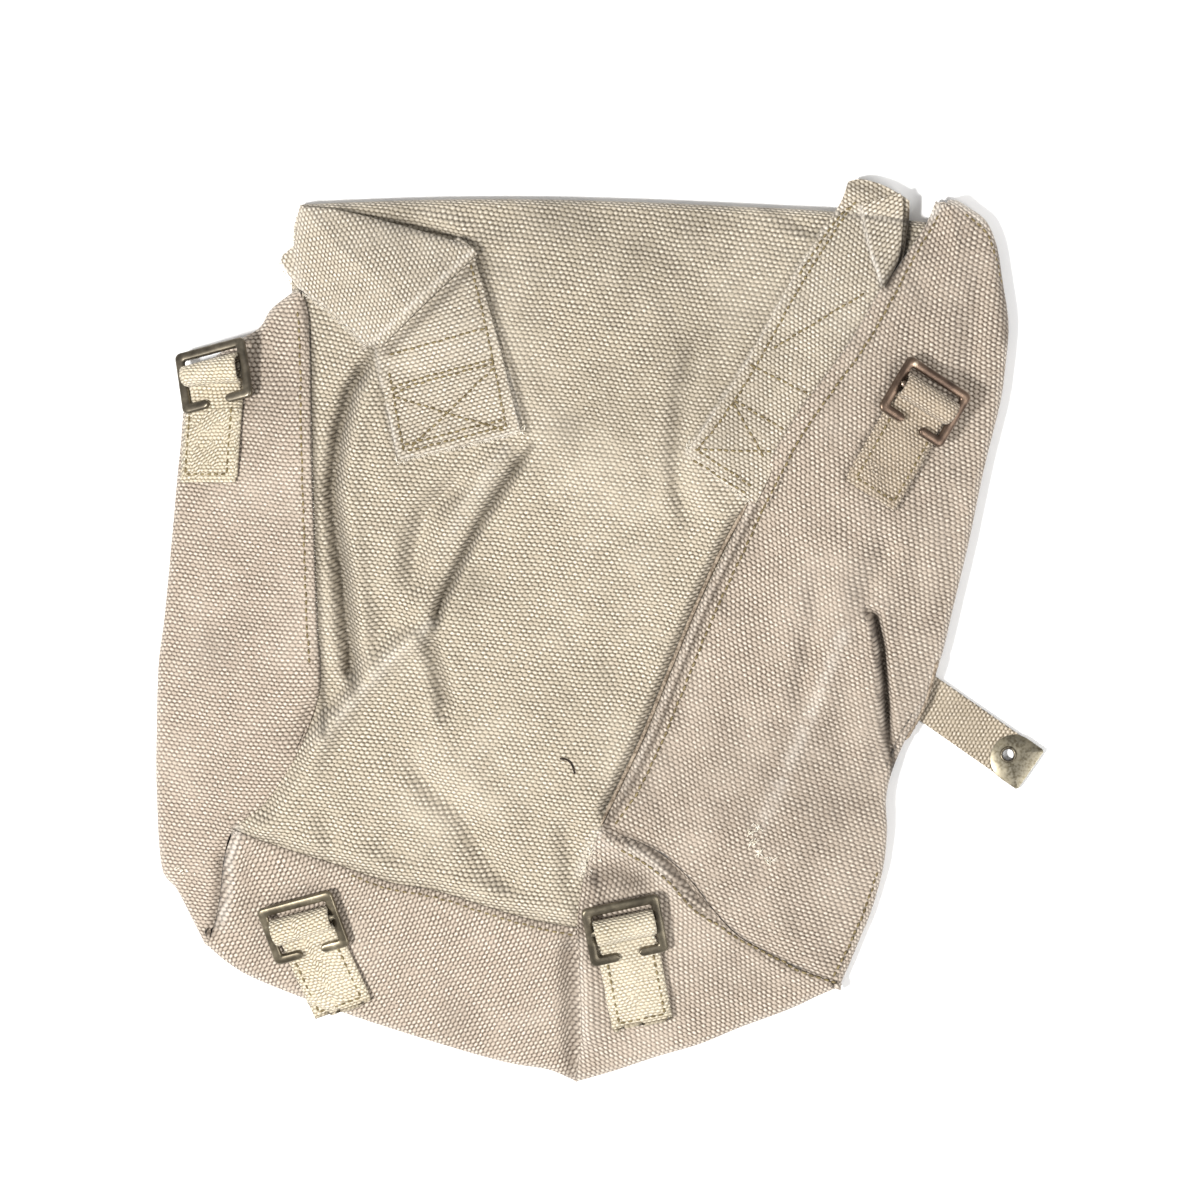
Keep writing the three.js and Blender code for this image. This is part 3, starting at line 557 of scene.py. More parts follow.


# %% [markdown]
# Painted shade, painted highlight, wear and stains that follow the shape
#
# Seams, folds and gaps get painted shade, and pale marks give both wear on rubbed edges and a
# painted highlight on ridges and rolls. All depend on where a point lies, not on any picture,
# so each vertex gets marks: how near it lies to a shaded groove, how exposed it is to wear and
# highlight, and whether it lies in one of the grey smudges, which hold stains and painted shade.
# The materials read them as attributes.

# %% Tables of painted shade in grooves, rubbed and highlit edges, and smudges
# Painted shade: dark lines along creases, seams, gaps and turned-away edges, where shade falls.
PAINTED_SHADE_LINES = [
    # line, width in mm, strength
    ([(303, 300), (312, 350), (315, 470), (320, 620), (325, 735)], 1.5, 1.0),
    ([(222, 858), (218, 897), (210, 935)], 2.2, 0.6),
    (BOTTOM_SEAM, 1.6, 0.45),
    ([(744, 508), (720, 554), (695, 605), (669, 668), (643, 733), (617, 786), (600, 812)], 1.0, 0.7),
    ([(757, 505), (732, 557), (707, 609), (681, 672), (655, 736), (629, 790), (606, 826)], 1.0, 1.2),
    (CORNER_ROLL, 1.2, 0.9),
    (LOW_HEM, 1.2, 0.5),
    (GUSSET_CREASE[1:], 1.7, 1.5),
    (CREASE, 1.8, 0.9),
    ([(432, 640), (440, 676), (446, 700)], 2.6, 0.6),
    (VALLEY, 3.0, 0.75),
    ([(910, 212), (907, 240), (900, 260), (886, 285)], 2.2, 1.6),
    ([(850, 184), (866, 188), (880, 190)], 2.4, 0.7),
    ([(1000, 246), (1004, 290), (1007, 340)], 2.4, 0.8),
    ([(376, 352), (382, 400), (398, 462)], 1.5, 0.4),
    ([(484, 258), (436, 306), (386, 354)], 1.8, 0.7),
    (LEFT_PUCKER, 2.0, 0.8),
    ([(480, 252), (501, 330), (513, 370), (528, 432)], 1.1, 1.1),
    (RIGHT_PUCKER, 1.6, 0.6),
    ([(590, 878), (614, 874), (640, 882)], 4.0, 0.7),
    (UPRIGHT_FOLD, 3.0, 0.7),
    ([(692, 340), (680, 400), (676, 450)], 2.0, 0.4),
]
# Pale lines: wear on rubbed edges and frayed patches, and painted highlight along ridges and rolls.
RUBBED_AND_HIGHLIT_LINES = [
    # line, width in mm, strength
    ([(843, 632), (815, 703), (786, 769), (760, 824)], 3.0, 0.35),
    ([(582, 940), (583, 990), (585, 1040), (578, 1078)], 2.0, 0.2),
    ([(238, 829), (229, 860), (226, 897), (219, 928)], 2.0, 0.6),
    ([(598, 832), (588, 850), (580, 872)], 2.2, 0.4),
    ([(751, 505), (727, 555), (702, 606), (676, 669), (650, 734), (624, 788)], 1.0, 0.3),
    ([(606, 846), (634, 852), (656, 866), (676, 890)], 3.0, 0.35),
    ([(930, 214), (941, 199), (956, 199), (988, 220)], 2.2, 0.8),
    ([(508, 372), (522, 432), (460, 447), (400, 460), (386, 400), (375, 348)], 0.8, 0.7),
    ([(472, 252), (425, 294), (376, 340), (366, 346), (329, 310), (298, 288), (281, 262)], 0.9, 0.6),
    ([(849, 180), (838, 206), (796, 272), (748, 359), (686, 454), (716, 478), (748, 503)], 0.9, 0.45),
    ([(861, 206), (869, 249), (876, 268), (881, 285)], 0.9, 0.9),
    ([(430, 626), (392, 658), (358, 694), (322, 740)], 3.0, 0.3),
    ([(506, 452), (478, 492), (448, 540)], 3.0, 0.2),
]
# Grey smudges: stains, and painted shade along the top edge, in hollows and under the left tab.
SMUDGES_AND_PAINTED_SHADE = [
    # place, width in mm, strength
    ((570, 426), 7, 0.5), ((474, 588), 9, 0.45), ((212, 650), 9, 0.3), ((640, 250), 10, 0.25),
    ((450, 505), 8, 0.3), ((836, 800), 14, 0.15), ((458, 1022), 9, 0.3), ((618, 935), 10, 0.25),
    ((730, 430), 6, 0.3), ((840, 340), 8, 0.25), ((560, 700), 12, 0.15), ((400, 215), 12, 0.45),
    ((560, 208), 16, 0.5), ((700, 210), 14, 0.4), ((640, 560), 18, 0.12), ((360, 560), 12, 0.15),
]


# %% Marks from the tables
def nearness(points, lines):
    total = np.zeros(len(points))
    for line, width, strength in lines:
        away, _ = line_field(points, plan(line))
        total = np.maximum(total, strength * np.exp(-(away / (width * MM)) ** 2))
    return total


# Painted shade in creases, seams and gaps.
def painted_shade_mark(points):
    return nearness(points, PAINTED_SHADE_LINES)


# Pale marks: wear on rubbed edges and along the outline, and painted highlight on ridges and rolls.
def wear_and_highlight_mark(points):
    edge = np.exp(-(edge_distance(points) / (2 * MM)) ** 2)
    return np.clip(nearness(points, RUBBED_AND_HIGHLIT_LINES) + 0.3 * edge, 0, 1)


# Grey smudges: stains, and painted shade where the cloth turns away or lies in a hollow.
def smudge_and_shade_mark(points):
    total = np.zeros(len(points))
    for spot, width, strength in SMUDGES_AND_PAINTED_SHADE:
        away = np.linalg.norm(points - plan([spot])[0], axis=1)
        total = np.maximum(total, strength * np.exp(-(away / (width * MM)) ** 2))
    return total


MARKS = {"painted_shade": painted_shade_mark, "wear_and_highlight": wear_and_highlight_mark, "smudge_and_shade": smudge_and_shade_mark}

# %% [markdown]
# The back panel and its flap
#
# The back is one piece of canvas from the bottom seam to the top edge, where it turns over and
# comes back below as the flap that the bag lies on. The gussets are sewn over its sides, so its
# own edges run a few millimetres under theirs.

# %% Back panel
UNDER_GUSSET = 3.5 * MM  # how far the back runs on under the gussets
FLAP_HEIGHT = 0.25 * MM  # the flap lies on the floor
BACK_ROWS = -7  # degrees by which the rows of the weave are turned

back_left = shifted([(303, 240)] + LEFT_SEAM, -UNDER_GUSSET)
back_bottom = shifted(BOTTOM_SEAM, -UNDER_GUSSET)
back_right = shifted(RIGHT_SEAM + CORNER_SEAM[::-1][1:], UNDER_GUSSET)
back_top = drawn_in(TOP_EDGE)
back_left = np.vstack([back_top[:1], back_left[3:-1], back_bottom[:1]])
back_right = np.vstack([back_top[-1:], back_right[6:-2], back_bottom[-1:]])
back_sheet = lay(coons(back_top, back_bottom, back_left, back_right, 180, 190))
back_turned = {key: np.swapaxes(value[::-1], 0, 1) for key, value in back_sheet.items()}
flap_end = smooth_line(plan([(304, FLAP_END_ROW), (480, FLAP_END_ROW), (685, FLAP_END_ROW)]), 180)
top_line = back_turned["points"][:, -1, :2]
flap = np.stack([top_line + (flap_end - top_line) * share for share in np.linspace(0, 1, 36)], axis=1)
back_cloth = wrapped(back_turned, under=lambda place: np.full(len(place), FLAP_HEIGHT), below=flap)
back_panel = cloth_piece("back_panel_cloth", [(back_cloth, weave_map(back_cloth, BACK_ROWS))],
                         CLOTH["canvas"])
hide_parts("back_panel")
print("back panel grid", back_cloth["points"].shape)

# %% Front panel
LAYER_GAP = 0.3 * MM  # air between layers of cloth that lie on each other

front_plan = coons(
    plan([(308, 240), (560, 238), (850, 240)]), plan([(262, 835), (420, 880), (575, 915)]),
    plan([(308, 240), (322, 560), (262, 835)]), plan([(850, 240), (716, 560), (575, 915)]), 40, 60,
)
front_sheet = lay(front_plan)
front_sheet["points"][..., 2] = underside(front_plan) + LAYER_GAP + CLOTH["canvas"]
front_panel = cloth_piece("front_panel_cloth", [(front_sheet, weave_map(front_sheet, BACK_ROWS))],
                          CLOTH["canvas"])
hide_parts("front_panel")

# %% [markdown]
# Gussets
#
# The side and bottom gussets fan out round the back panel. Their seam sides lie on top of the
# back panel's edges, a little raised, and their outer sides fold under at the outline.

# %% Outer edges of the gussets, which share their corners
left_outer = drawn_in(LEFT_EDGE)
right_outer = drawn_in(RIGHT_EDGE)
bottom_outer_a = drawn_in(BOTTOM_EDGE_LEFT)
bottom_outer_b = drawn_in(BOTTOM_EDGE_RIGHT)
for edge_a, end_a, edge_b, end_b in (
    (left_outer, -1, bottom_outer_a, 0), (bottom_outer_a, -1, bottom_outer_b, 0),
    (right_outer, -1, bottom_outer_b, -1),
):
    edge_a[end_a] = edge_b[end_b] = (edge_a[end_a] + edge_b[end_b]) / 2

# %% Left gusset
FADED_HEM = 0.3 * MM  # the hem flattens in its lower part

left_inner = smooth_line(plan(LEFT_SEAM + LOW_LEFT_SEAM[1:-1] + [(206, 934)]), 90)
left_inner[0] = plan([(302, 290)])[0]
left_plan = coons(straight(left_inner[0], left_outer[0]), straight(left_inner[-1], left_outer[-1]),
                  left_inner, left_outer, 60, 160)
hem_fades = ease(0.60, 0.68, np.linspace(0, 1, len(left_plan)))
hem_rises = HEM_RISE + (FADED_HEM - HEM_RISE) * hem_fades
left_cloth = wrapped(hem(lay(left_plan), hem_rises), meets=True)
left_gusset = cloth_piece("left_gusset_cloth", [(left_cloth, weave_map(left_cloth, 0))],
                          CLOTH["canvas"])
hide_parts("left_gusset")

# %% Bottom gusset in two stretches that meet at its upright fold
LOW_HEM_RISE = 0.8 * MM
BOTTOM_FOLD = [(577, 927), (580, 983), (581, 1040), (576, 1084)]
fold_line = np.vstack([plan(BOTTOM_FOLD[:-1]), bottom_outer_a[-1:]])
start_line = np.vstack([plan(LOW_LEFT_SEAM[:-1]), bottom_outer_a[:1]])
bottom_a = coons(start_line, fold_line, plan(BOTTOM_SEAM), bottom_outer_a, 50, 130)
wrap_seam = np.vstack([plan(CORNER_SEAM), plan(LOW_RIGHT_SEAM[1:])])
bottom_b = coons(fold_line, straight(wrap_seam[-1], bottom_outer_b[-1]), wrap_seam, bottom_outer_b, 50, 150)
bottom_sheets = []
for stretch, turn in ((bottom_a, 72), (bottom_b, -40)):
    sheet = wrapped(hem(lay(stretch), rise=LOW_HEM_RISE), meets=True)
    bottom_sheets.append((sheet, weave_map(sheet, turn)))
bottom_gusset = cloth_piece("bottom_gusset_cloth", bottom_sheets, CLOTH["canvas"])
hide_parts("bottom_gusset")

# %% Right gusset
OVER_TAB = 2.6 * MM
TAB_END_SHARE = (0.40, 0.47)  # where along the seam the tab's lower end lies

right_inner = smooth_line(plan(RIGHT_SEAM), 90)
right_low = np.vstack([smooth_line(plan(LOW_RIGHT_SEAM), 60)[:-1], right_outer[-1:]])
right_plan = coons(straight(right_inner[0], right_outer[0]), right_low, right_inner, right_outer, 90, 190)
right_sheet = lay(right_plan)
seam_share = np.linspace(0, 1, right_plan.shape[0])
on_tab = 1 - ease(*TAB_END_SHARE, seam_share)
away = np.linalg.norm(right_plan - right_plan[:, :1], axis=2)
right_sheet["points"][..., 2] += OVER_TAB * on_tab[:, None] * (1 - ease(5 * MM, 22 * MM, away))
right_cloth = wrapped(hem(right_sheet), meets=True)
right_gusset = cloth_piece("right_gusset_cloth", [(right_cloth, weave_map(right_cloth, -38, -24))],
                           CLOTH["canvas"])
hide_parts("right_gusset")
print("panels made")

# %% [markdown]
# Shoulder tabs
#
# Two broad webbing tabs are sewn to the back with boxed crosses. The left one is pleated over the
# corner, so a second layer with a thick rolled fold lies on it. The right one runs up under the
# gusset's hem, past the top edge, and its end turns back on itself.

# %% Left tab
TAB = 2.2 * MM
FOLD_LIFT = 1.4 * TAB  # how far the pleat stands up at its rolled fold
TAB_FOLD, TAB_END = 1.6 * MM, 1.7 * MM  # the turned layers lie flatter
TAB_GAP = 0.2 * MM  # air under the tab's edges
TAB_LEAST = 9 * MM  # the tabs are stiff and stay up where the bag's edge drops


def slab(name, sheet, thickness, turn):
    piece = cloth_piece(name, [(sheet, weave_map(sheet, turn))], thickness)
    soften = piece.modifiers.new("soft edge", "BEVEL")
    soften.width = 0.45 * MM
    soften.segments = 2
    soften.limit_method = "ANGLE"
    soften.angle_limit = math.radians(50)
    return piece


tab_plan = coons(
    plan([(372, 336), (425, 290), (472, 246)]), plan([(400, 460), (460, 447), (521, 432)]),
    plan([(372, 336), (386, 400), (400, 460)]), plan([(472, 246), (498, 340), (521, 432)]), 50, 70,
)
left_tab = slab("left_tab_cloth", lay(tab_plan, TAB + TAB_GAP), TAB, 16)
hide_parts("left_shoulder_tab")

fold_plan = coons(
    plan([(299, 205), (346, 211), (408, 227), (461, 243), (474, 250)]),
    plan([(298, 288), (329, 310), (366, 344), (378, 344)]),
    plan([(299, 205), (293, 228), (293, 244), (282, 254), (281, 262), (289, 276), (298, 288)]),
    plan([(474, 250), (425, 297), (378, 344)]), 64, 60,
)
toward_fold = ease(0.3, 1.0, np.linspace(0, 1, fold_plan.shape[1]))[None, :]
fold_sheet = lay(fold_plan, TAB + TAB_GAP, TAB_LEAST)
fold_sheet["points"][..., 2] += toward_fold * FOLD_LIFT
fold_line_end = fold_sheet["points"][:, -1, :2]
inwards = unit(fold_sheet["points"][:, -4, :2] - fold_line_end)
fold_back = np.stack([fold_line_end + inwards * reach * MM for reach in (3, 8)], axis=1)
fold_sheet = wrapped(fold_sheet, radius=2.4 * MM, below=fold_back,
                     under=lambda place: bag_height(place) + TAB + TAB_GAP + LAYER_GAP)
left_fold = slab("left_tab_fold", fold_sheet, TAB_FOLD, -46)

# %% Right tab
tab_left = plan([(849, 180), (838, 207), (796, 272), (748, 359), (716, 410), (686, 453)])
tab_right = shifted([(904, 196), (903, 222), (888, 290), (852, 341), (790, 425), (750, 501)], 2.5 * MM)
tab_right[0] = plan([(904, 195)])[0]
tab_foot = np.vstack([plan([(686, 453), (716, 478)]), tab_right[-1:]])
tab_head = plan([(849, 180), (862, 178), (884, 184), (904, 195)])
right_tab_plan = coons(tab_head, tab_foot, tab_left, tab_right, 50, 130)
right_tab = slab("right_tab_cloth", lay(right_tab_plan, TAB + TAB_GAP, TAB_LEAST), TAB, -33)
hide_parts("right_shoulder_tab")

end_left = plan([(862, 204), (866, 228), (870, 250), (876, 268), (881, 286)])
end_right = plan([(901, 192), (904, 206), (899, 256), (884, 288)])
end_plan = coons(np.stack([end_left[0], plan([(880, 198)])[0], end_right[0]]),
                 straight(end_left[-1], end_right[-1]), end_left, end_right, 24, 50)
end_sheet = lay(end_plan, 2 * (TAB + TAB_GAP), TAB_LEAST + TAB)
right_fold = slab("right_tab_end", end_sheet, TAB_END, 40)
print("tabs made")

# %% [markdown]
# Buckles
#
# Each brass buckle is a flat frame that ends in two prongs, with a bar across it for the webbing.
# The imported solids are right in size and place, but their edges are hard. A sweep of a rounded
# section along the frame's line gives the cast and rubbed shape, set on the solid's own place.

# %% Where a packed buckle lies
BUCKLES = ["upper_left", "upper_right", "lower_left", "lower_right"]
FRAME = {"width": 32.8 * MM, "length": 26 * MM, "top": 11.5 * MM, "bar": 3.8 * MM, "sheet": 2.3 * MM}
ROLL_RADIUS = 5.3 * MM
BUCKLE_DROP = 0.9 * MM  # the frame hangs this far below the roll's middle
WEBBING = 1.5 * MM
CHAPE_WIDTH = 25.4 * MM


def node_points(node):
    solid = frame["nodes"][node]
    points = np.empty(len(solid.data.vertices) * 3)
    solid.data.vertices.foreach_get("co", points)
    return points.reshape(-1, 3)


def seat_of(name):
    """The buckle's own axes and the middle of its bar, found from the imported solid."""
    points = np.unique(np.round(node_points(name + "_buckle"), 6), axis=0)
    middle = (points.max(axis=0) + points.min(axis=0)) / 2
    spread = np.linalg.eigh(np.cov((points - middle).T))[1]
    normal = spread[:, 0] * np.sign(spread[2, 0])
    chape = node_points(name + "_chape")
    chape = (chape.max(axis=0) + chape.min(axis=0)) / 2
    up = middle - chape
    up -= normal * (up @ normal)
    across = max((spread[:, 1], spread[:, 2]), key=lambda axis: -abs(axis @ up))
    across = across * np.sign(np.cross(up, normal) @ across)
    up = np.cross(normal, across)
    local = (points - middle) @ np.stack([across, up, normal], axis=1)
    low, high = local.min(axis=0), local.max(axis=0)
    centre = middle + across * (low[0] + high[0]) / 2 + normal * (low[2] + high[2]) / 2
    bar = centre + up * (high[1] - FRAME["top"])
    half, low_end = FRAME["width"] / 2, FRAME["top"] - FRAME["length"]
    feet = [(x, y, -FRAME["sheet"] / 2) for x in (-half, 0, half) for y in (low_end, 0, FRAME["top"])]
    roll_low = BUCKLE_DROP - ROLL_RADIUS
    feet += [(x, y, roll_low) for x in (-0.38 * half, 0, 0.38 * half) for y in (-2 * MM, 0, 2 * MM)]
    feet = bar + np.array(feet) @ np.stack([across, up, normal])
    gap = (feet[:, 2] - bag_height(feet[:, :2])).min()
    return across, up, normal, bar - np.array([0, 0, gap - 0.2 * MM])


SEATS = {name: seat_of(name) for name in BUCKLES}
for name, seat in SEATS.items():
    print(name, "turn", round(math.degrees(math.atan2(seat[0][1], seat[0][0])), 1))

# %% Sweep a section along a path
def ring_faces(rows, columns, closed=False):
    """Faces between rings of points. Open rows of rings get a face at each end."""
    index = np.arange(rows * columns).reshape(rows, columns)
    faces = []
    for i in range(rows if closed else rows - 1):
        a, b = index[i], index[(i + 1) % rows]
        faces += [(a[j], a[(j + 1) % columns], b[(j + 1) % columns], b[j]) for j in range(columns)]
    return faces if closed else faces + [tuple(index[0][::-1]), tuple(index[-1])]


def circle(radius, count):
    angle = np.linspace(0, 2 * np.pi, count, endpoint=False)
    return np.stack([np.cos(angle), np.sin(angle)], axis=1) * radius


def sweep(path, section, scale=1.0):
    """Vertices and faces of a section of (out, up) points carried along a path."""
    path = np.asarray(path, dtype=float)
    run = forward(path)
    out = unit(np.cross(run, (0, 0, 1)))
    up = np.cross(out, run)
    scale = np.broadcast_to(scale, len(path))[:, None, None]
    rings = path[:, None] + scale * (section[:, :1] * out[:, None] + section[:, 1:] * up[:, None])
    return rings.reshape(-1, 3), ring_faces(*rings.shape[:2])


def join_parts(parts):
    """One list of vertices and faces from many."""
    vertices, faces, start = [], [], 0
    for points, part_faces in parts:
        vertices.append(points)
        faces += [tuple(int(i) + start for i in face) for face in part_faces]
        start += len(points)
    return np.vstack(vertices), faces


def hard_piece(name, parts):
    vertices, faces = join_parts(parts)
    mesh = mesh_from(name, vertices, faces)
    made = bmesh.new()
    made.from_mesh(mesh)
    bmesh.ops.recalc_face_normals(made, faces=made.faces)
    made.to_mesh(mesh)
    made.free()
    mesh.polygons.foreach_set("use_smooth", [True] * len(mesh.polygons))
    piece = new_object(name, mesh)
    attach(piece, BODY)
    return piece


def rounded_section(width, height, power=3.2, count=16):
    shape = circle(1, count)
    shape = np.sign(shape) * np.abs(shape) ** (2 / power)
    return shape * np.array([width / 2, height / 2])


# %% Fine buckles
PRONG = 12.2 * MM
OUTER_CORNER, INNER_CORNER = 2.4 * MM, 0.9 * MM
FRAME_SECTION = [
    # share of the bar's width from its inner side, and height as a share of the sheet
    (0.0, -0.3), (0.0, 0.18), (0.07, 0.38), (0.2, 0.48), (0.5, 0.52), (0.8, 0.48), (0.93, 0.38),
    (1.0, 0.18), (1.0, -0.3), (0.85, -0.5), (0.15, -0.5),
]


def frame_stations():
    """Pairs of inner and outer points from one prong's tip round the frame to the other's."""
    half, bar = FRAME["width"] / 2, FRAME["bar"]
    top, low = FRAME["top"], FRAME["top"] - FRAME["length"]
    round_tip = bar / 2
    tip = half - PRONG + round_tip
    left = []
    for degrees in (12, 30, 50, 70, 90):
        angle = math.radians(degrees)
        x, y = -tip + round_tip * math.cos(angle), low + round_tip
        left.append(((x, y + round_tip * math.sin(angle)), (x, y - round_tip * math.sin(angle))))
    for share in (0.3, 0.7):
        x = -tip - (half - bar - INNER_CORNER - tip) * share
        left.append(((x, low + bar), (x, low)))
    for y, direction, start in ((low, 1, -90), (top, -1, 180)):
        for degrees in range(0, 91, 15):
            angle = math.radians(start - degrees)
            turn = np.array([math.cos(angle), math.sin(angle)])
            inner = np.array([-half + bar + INNER_CORNER, y + direction * (bar + INNER_CORNER)])
            outer = np.array([-half + OUTER_CORNER, y + direction * OUTER_CORNER])
            left.append((tuple(inner + INNER_CORNER * turn), tuple(outer + OUTER_CORNER * turn)))
        if y == low:
            for share in (0.25, 0.5, 0.75):
                height = low + bar + (top - low - 2 * bar) * share
                left.append(((-half + bar, height), (-half, height)))
    right = [((-inner[0], inner[1]), (-outer[0], outer[1])) for inner, outer in left[::-1]]
    return np.array(left + [((0, top - bar), (0, top))] + right)


def to_world(points, seat):
    across, up, normal, bar = seat
    points = np.asarray(points)
    return bar + points[:, :1] * across + points[:, 1:2] * up + points[:, 2:3] * normal


def buckle_parts(seat, wobble):
    stations = frame_stations()
    inner, outer = stations[:, 0], stations[:, 1]
    rings = []
    for share, height in FRAME_SECTION:
        flat = inner + (outer - inner) * share
        bend = 0.2 * MM * np.sin(flat[:, 0] / (9 * MM) + wobble) + 0.12 * MM * np.sin(flat[:, 1] / (6 * MM))
        rings.append(np.column_stack([flat, height * FRAME["sheet"] + bend]))
    points = np.stack(rings, axis=1)
    faces = ring_faces(*points.shape[:2])
    bar_half = FRAME["width"] / 2 - FRAME["bar"] / 2
    bar_path = np.column_stack([np.linspace(-bar_half, bar_half, 8), np.zeros(8), np.zeros(8)])
    bar_points, bar_faces = sweep(bar_path, rounded_section(3.0 * MM, 2.4 * MM, 2.2, 12))
    return [(to_world(points.reshape(-1, 3), seat), faces), (to_world(bar_points, seat), bar_faces)]


for number, name in enumerate(BUCKLES):
    buckle = hard_piece(name + "_buckle_fine", buckle_parts(SEATS[name], number * 1.7))
    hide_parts(name + "_buckle")
print("buckles made")

# %% [markdown]
# Chapes
#
# A chape is a short webbing strap, folded round the buckle's bar and sewn down flat. Its path
# starts on the cloth, rises to the roll, turns round the bar and comes back below. Where it is
# sewn it follows the bag's height, and near the roll it follows the buckle's own plane.

# %% Chapes that follow the cloth
CHAPES = {
    # length below the bar, and degrees by which the sewn part swings from the buckle
    "upper_left": (46.0 * MM, -13.5),
    "upper_right": (46.5 * MM, 1.0),
    "lower_left": (42.0 * MM, 5.0),
    "lower_right": (45.0 * MM, 0.0),
}


def chape_path(length):
    """Distance along the chape and height above the roll's middle, for the upper face."""
    flat_top = 2 * WEBBING - ROLL_RADIUS
    path = [(-length, flat_top - 1.2 * MM), (-length, flat_top - 0.3 * MM)]
    path += [(y, flat_top) for y in np.linspace(-length + 0.6 * MM, -ROLL_RADIUS - 2.2 * MM, 16)]
    start = math.pi - math.asin(max(-1, min(1, (flat_top + 0.6 * MM) / ROLL_RADIUS)))
    for angle in np.linspace(start, -math.pi / 2, 26):
        path.append((ROLL_RADIUS * math.cos(angle), ROLL_RADIUS * math.sin(angle)))
    path += [(y, -ROLL_RADIUS) for y in np.linspace(-ROLL_RADIUS * 0.5, -length * 0.95, 12)]
    return np.array(path)


def swung(points, degrees):
    """Turns the sewn part of a chape about the bar; the roll itself stays square to it."""
    share = ease(0, 9 * MM, -points[:, 1])
    angle = np.radians(degrees) * share
    x = points[:, 0] * np.cos(angle) - points[:, 1] * np.sin(angle)
    y = points[:, 0] * np.sin(angle) + points[:, 1] * np.cos(angle)
    return np.stack([x, y], axis=1)


def chape_grid(name):
    across, up, normal, bar = SEATS[name]
    length, swing = CHAPES[name]
    path = smooth_line(chape_path(length), 130)
    columns = np.linspace(-CHAPE_WIDTH / 2, CHAPE_WIDTH / 2, 14)
    middle = bar + normal * BUCKLE_DROP
    rows = []
    for y, z in path:
        pull = 1 - 0.05 * math.exp(-((y + 7 * MM) / (3 * MM)) ** 2)
        turned = swung(np.column_stack([columns * pull, np.full(len(columns), y)]), swing)
        points = middle + turned[:, :1] * across + turned[:, 1:] * up + z * normal
        sag = ease(ROLL_RADIUS + 2 * MM, ROLL_RADIUS + 12 * MM, -y)
        on_top = z > 0.5 * WEBBING - ROLL_RADIUS
        rest = bag_height(points[:, :2]) + (2 * WEBBING + 0.2 * MM if on_top else WEBBING)
        points[:, 2] = (1 - sag) * points[:, 2] + sag * rest
        points[:, 2] += 0.25 * MM * np.sin(columns / (3.1 * MM) + y / (4 * MM))
        rows.append(points)
    return np.array(rows)


# %% Webbing sheets
def lengths(grid):
    """Lengths along rows and columns, as weave coordinates for a strap."""
    across = np.linalg.norm(np.diff(grid, axis=1), axis=2)
    along = np.linalg.norm(np.diff(grid, axis=0), axis=2)
    u = np.concatenate([np.zeros((grid.shape[0], 1)), np.cumsum(across, axis=1)], axis=1)
    v = np.concatenate([np.zeros((1, grid.shape[1])), np.cumsum(along, axis=0)], axis=0)
    return np.stack([u, v], axis=-1)


def strap_sheet(grid):
    return {"points": grid, "flat": grid[..., :2], "rise": grid[..., 2]}, lengths(grid)


for name in BUCKLES:
    chape = cloth_piece(name + "_webbing", [strap_sheet(chape_grid(name))], WEBBING)
    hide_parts(name + "_chape")
print("chapes made")

# %% [markdown]
# The closing strap
#
# A narrow webbing strap comes out from below the bag on the right. Its end is bound in a thin
# brass plate with a half-round inner end, and an eyelet goes through plate and webbing.

# %% Closing strap
STRAP = {"width": 19 * MM, "sheet": 1.4 * MM, "height": 1.5 * MM}
PIERCED = 3.0 * MM  # radius of the hole through the plate and the webbing
tip_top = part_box("strap_tip")[1].z
eyelet_low, eyelet_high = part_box("strap_eyelet")
eyelet_at = np.array([eyelet_low.x + eyelet_high.x, eyelet_low.y + eyelet_high.y]) / 2
strap_points = node_points("closing_strap")[:, :2]
run = unit(eyelet_at - strap_points.mean(axis=0))
side = np.array([-run[1], run[0]])
tip_along = (node_points("strap_tip")[:, :2] - eyelet_at) @ run
tip_back, tip_reach = tip_along.min(), tip_along.max()
strap_back = ((strap_points - eyelet_at) @ run).min()
along = np.linspace(strap_back, tip_reach - 1.2 * MM, 90)
over = np.linspace(-STRAP["width"] / 2, STRAP["width"] / 2, 20)
strap_rows = []
for distance in along:
    xy = eyelet_at + run * distance + np.outer(over, side)
    z = STRAP["height"] + STRAP["sheet"] / 2 + 0.12 * MM * np.sin(distance / (7 * MM) + over / (5 * MM))
    strap_rows.append(np.column_stack([xy, z]))
closing_strap = cloth_piece("closing_strap_webbing", [strap_sheet(np.array(strap_rows))],
                            STRAP["sheet"])
pierced = bmesh.new()
pierced.from_mesh(closing_strap.data)
hole_at = Vector(eyelet_at)
in_hole = [f for f in pierced.faces if (f.calc_center_median().xy - hole_at).length < PIERCED]
bmesh.ops.delete(pierced, geom=in_hole, context="FACES")
pierced.to_mesh(closing_strap.data)
pierced.free()
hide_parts("closing_strap")


# %% Brass end plate
def plate_outline(half, back, reach, steps=16):
    """Plan of the end plate, with a half-round inner end."""
    corner = 0.8 * MM
    points = [(reach, corner - half), (reach, half - corner), (reach - corner, half)]
    for k in range(steps + 1):
        angle = math.pi / 2 + math.pi * k / steps
        points.append((back + half + half * math.cos(angle), half * math.sin(angle)))
    return np.array(points + [(reach - corner, -half)])


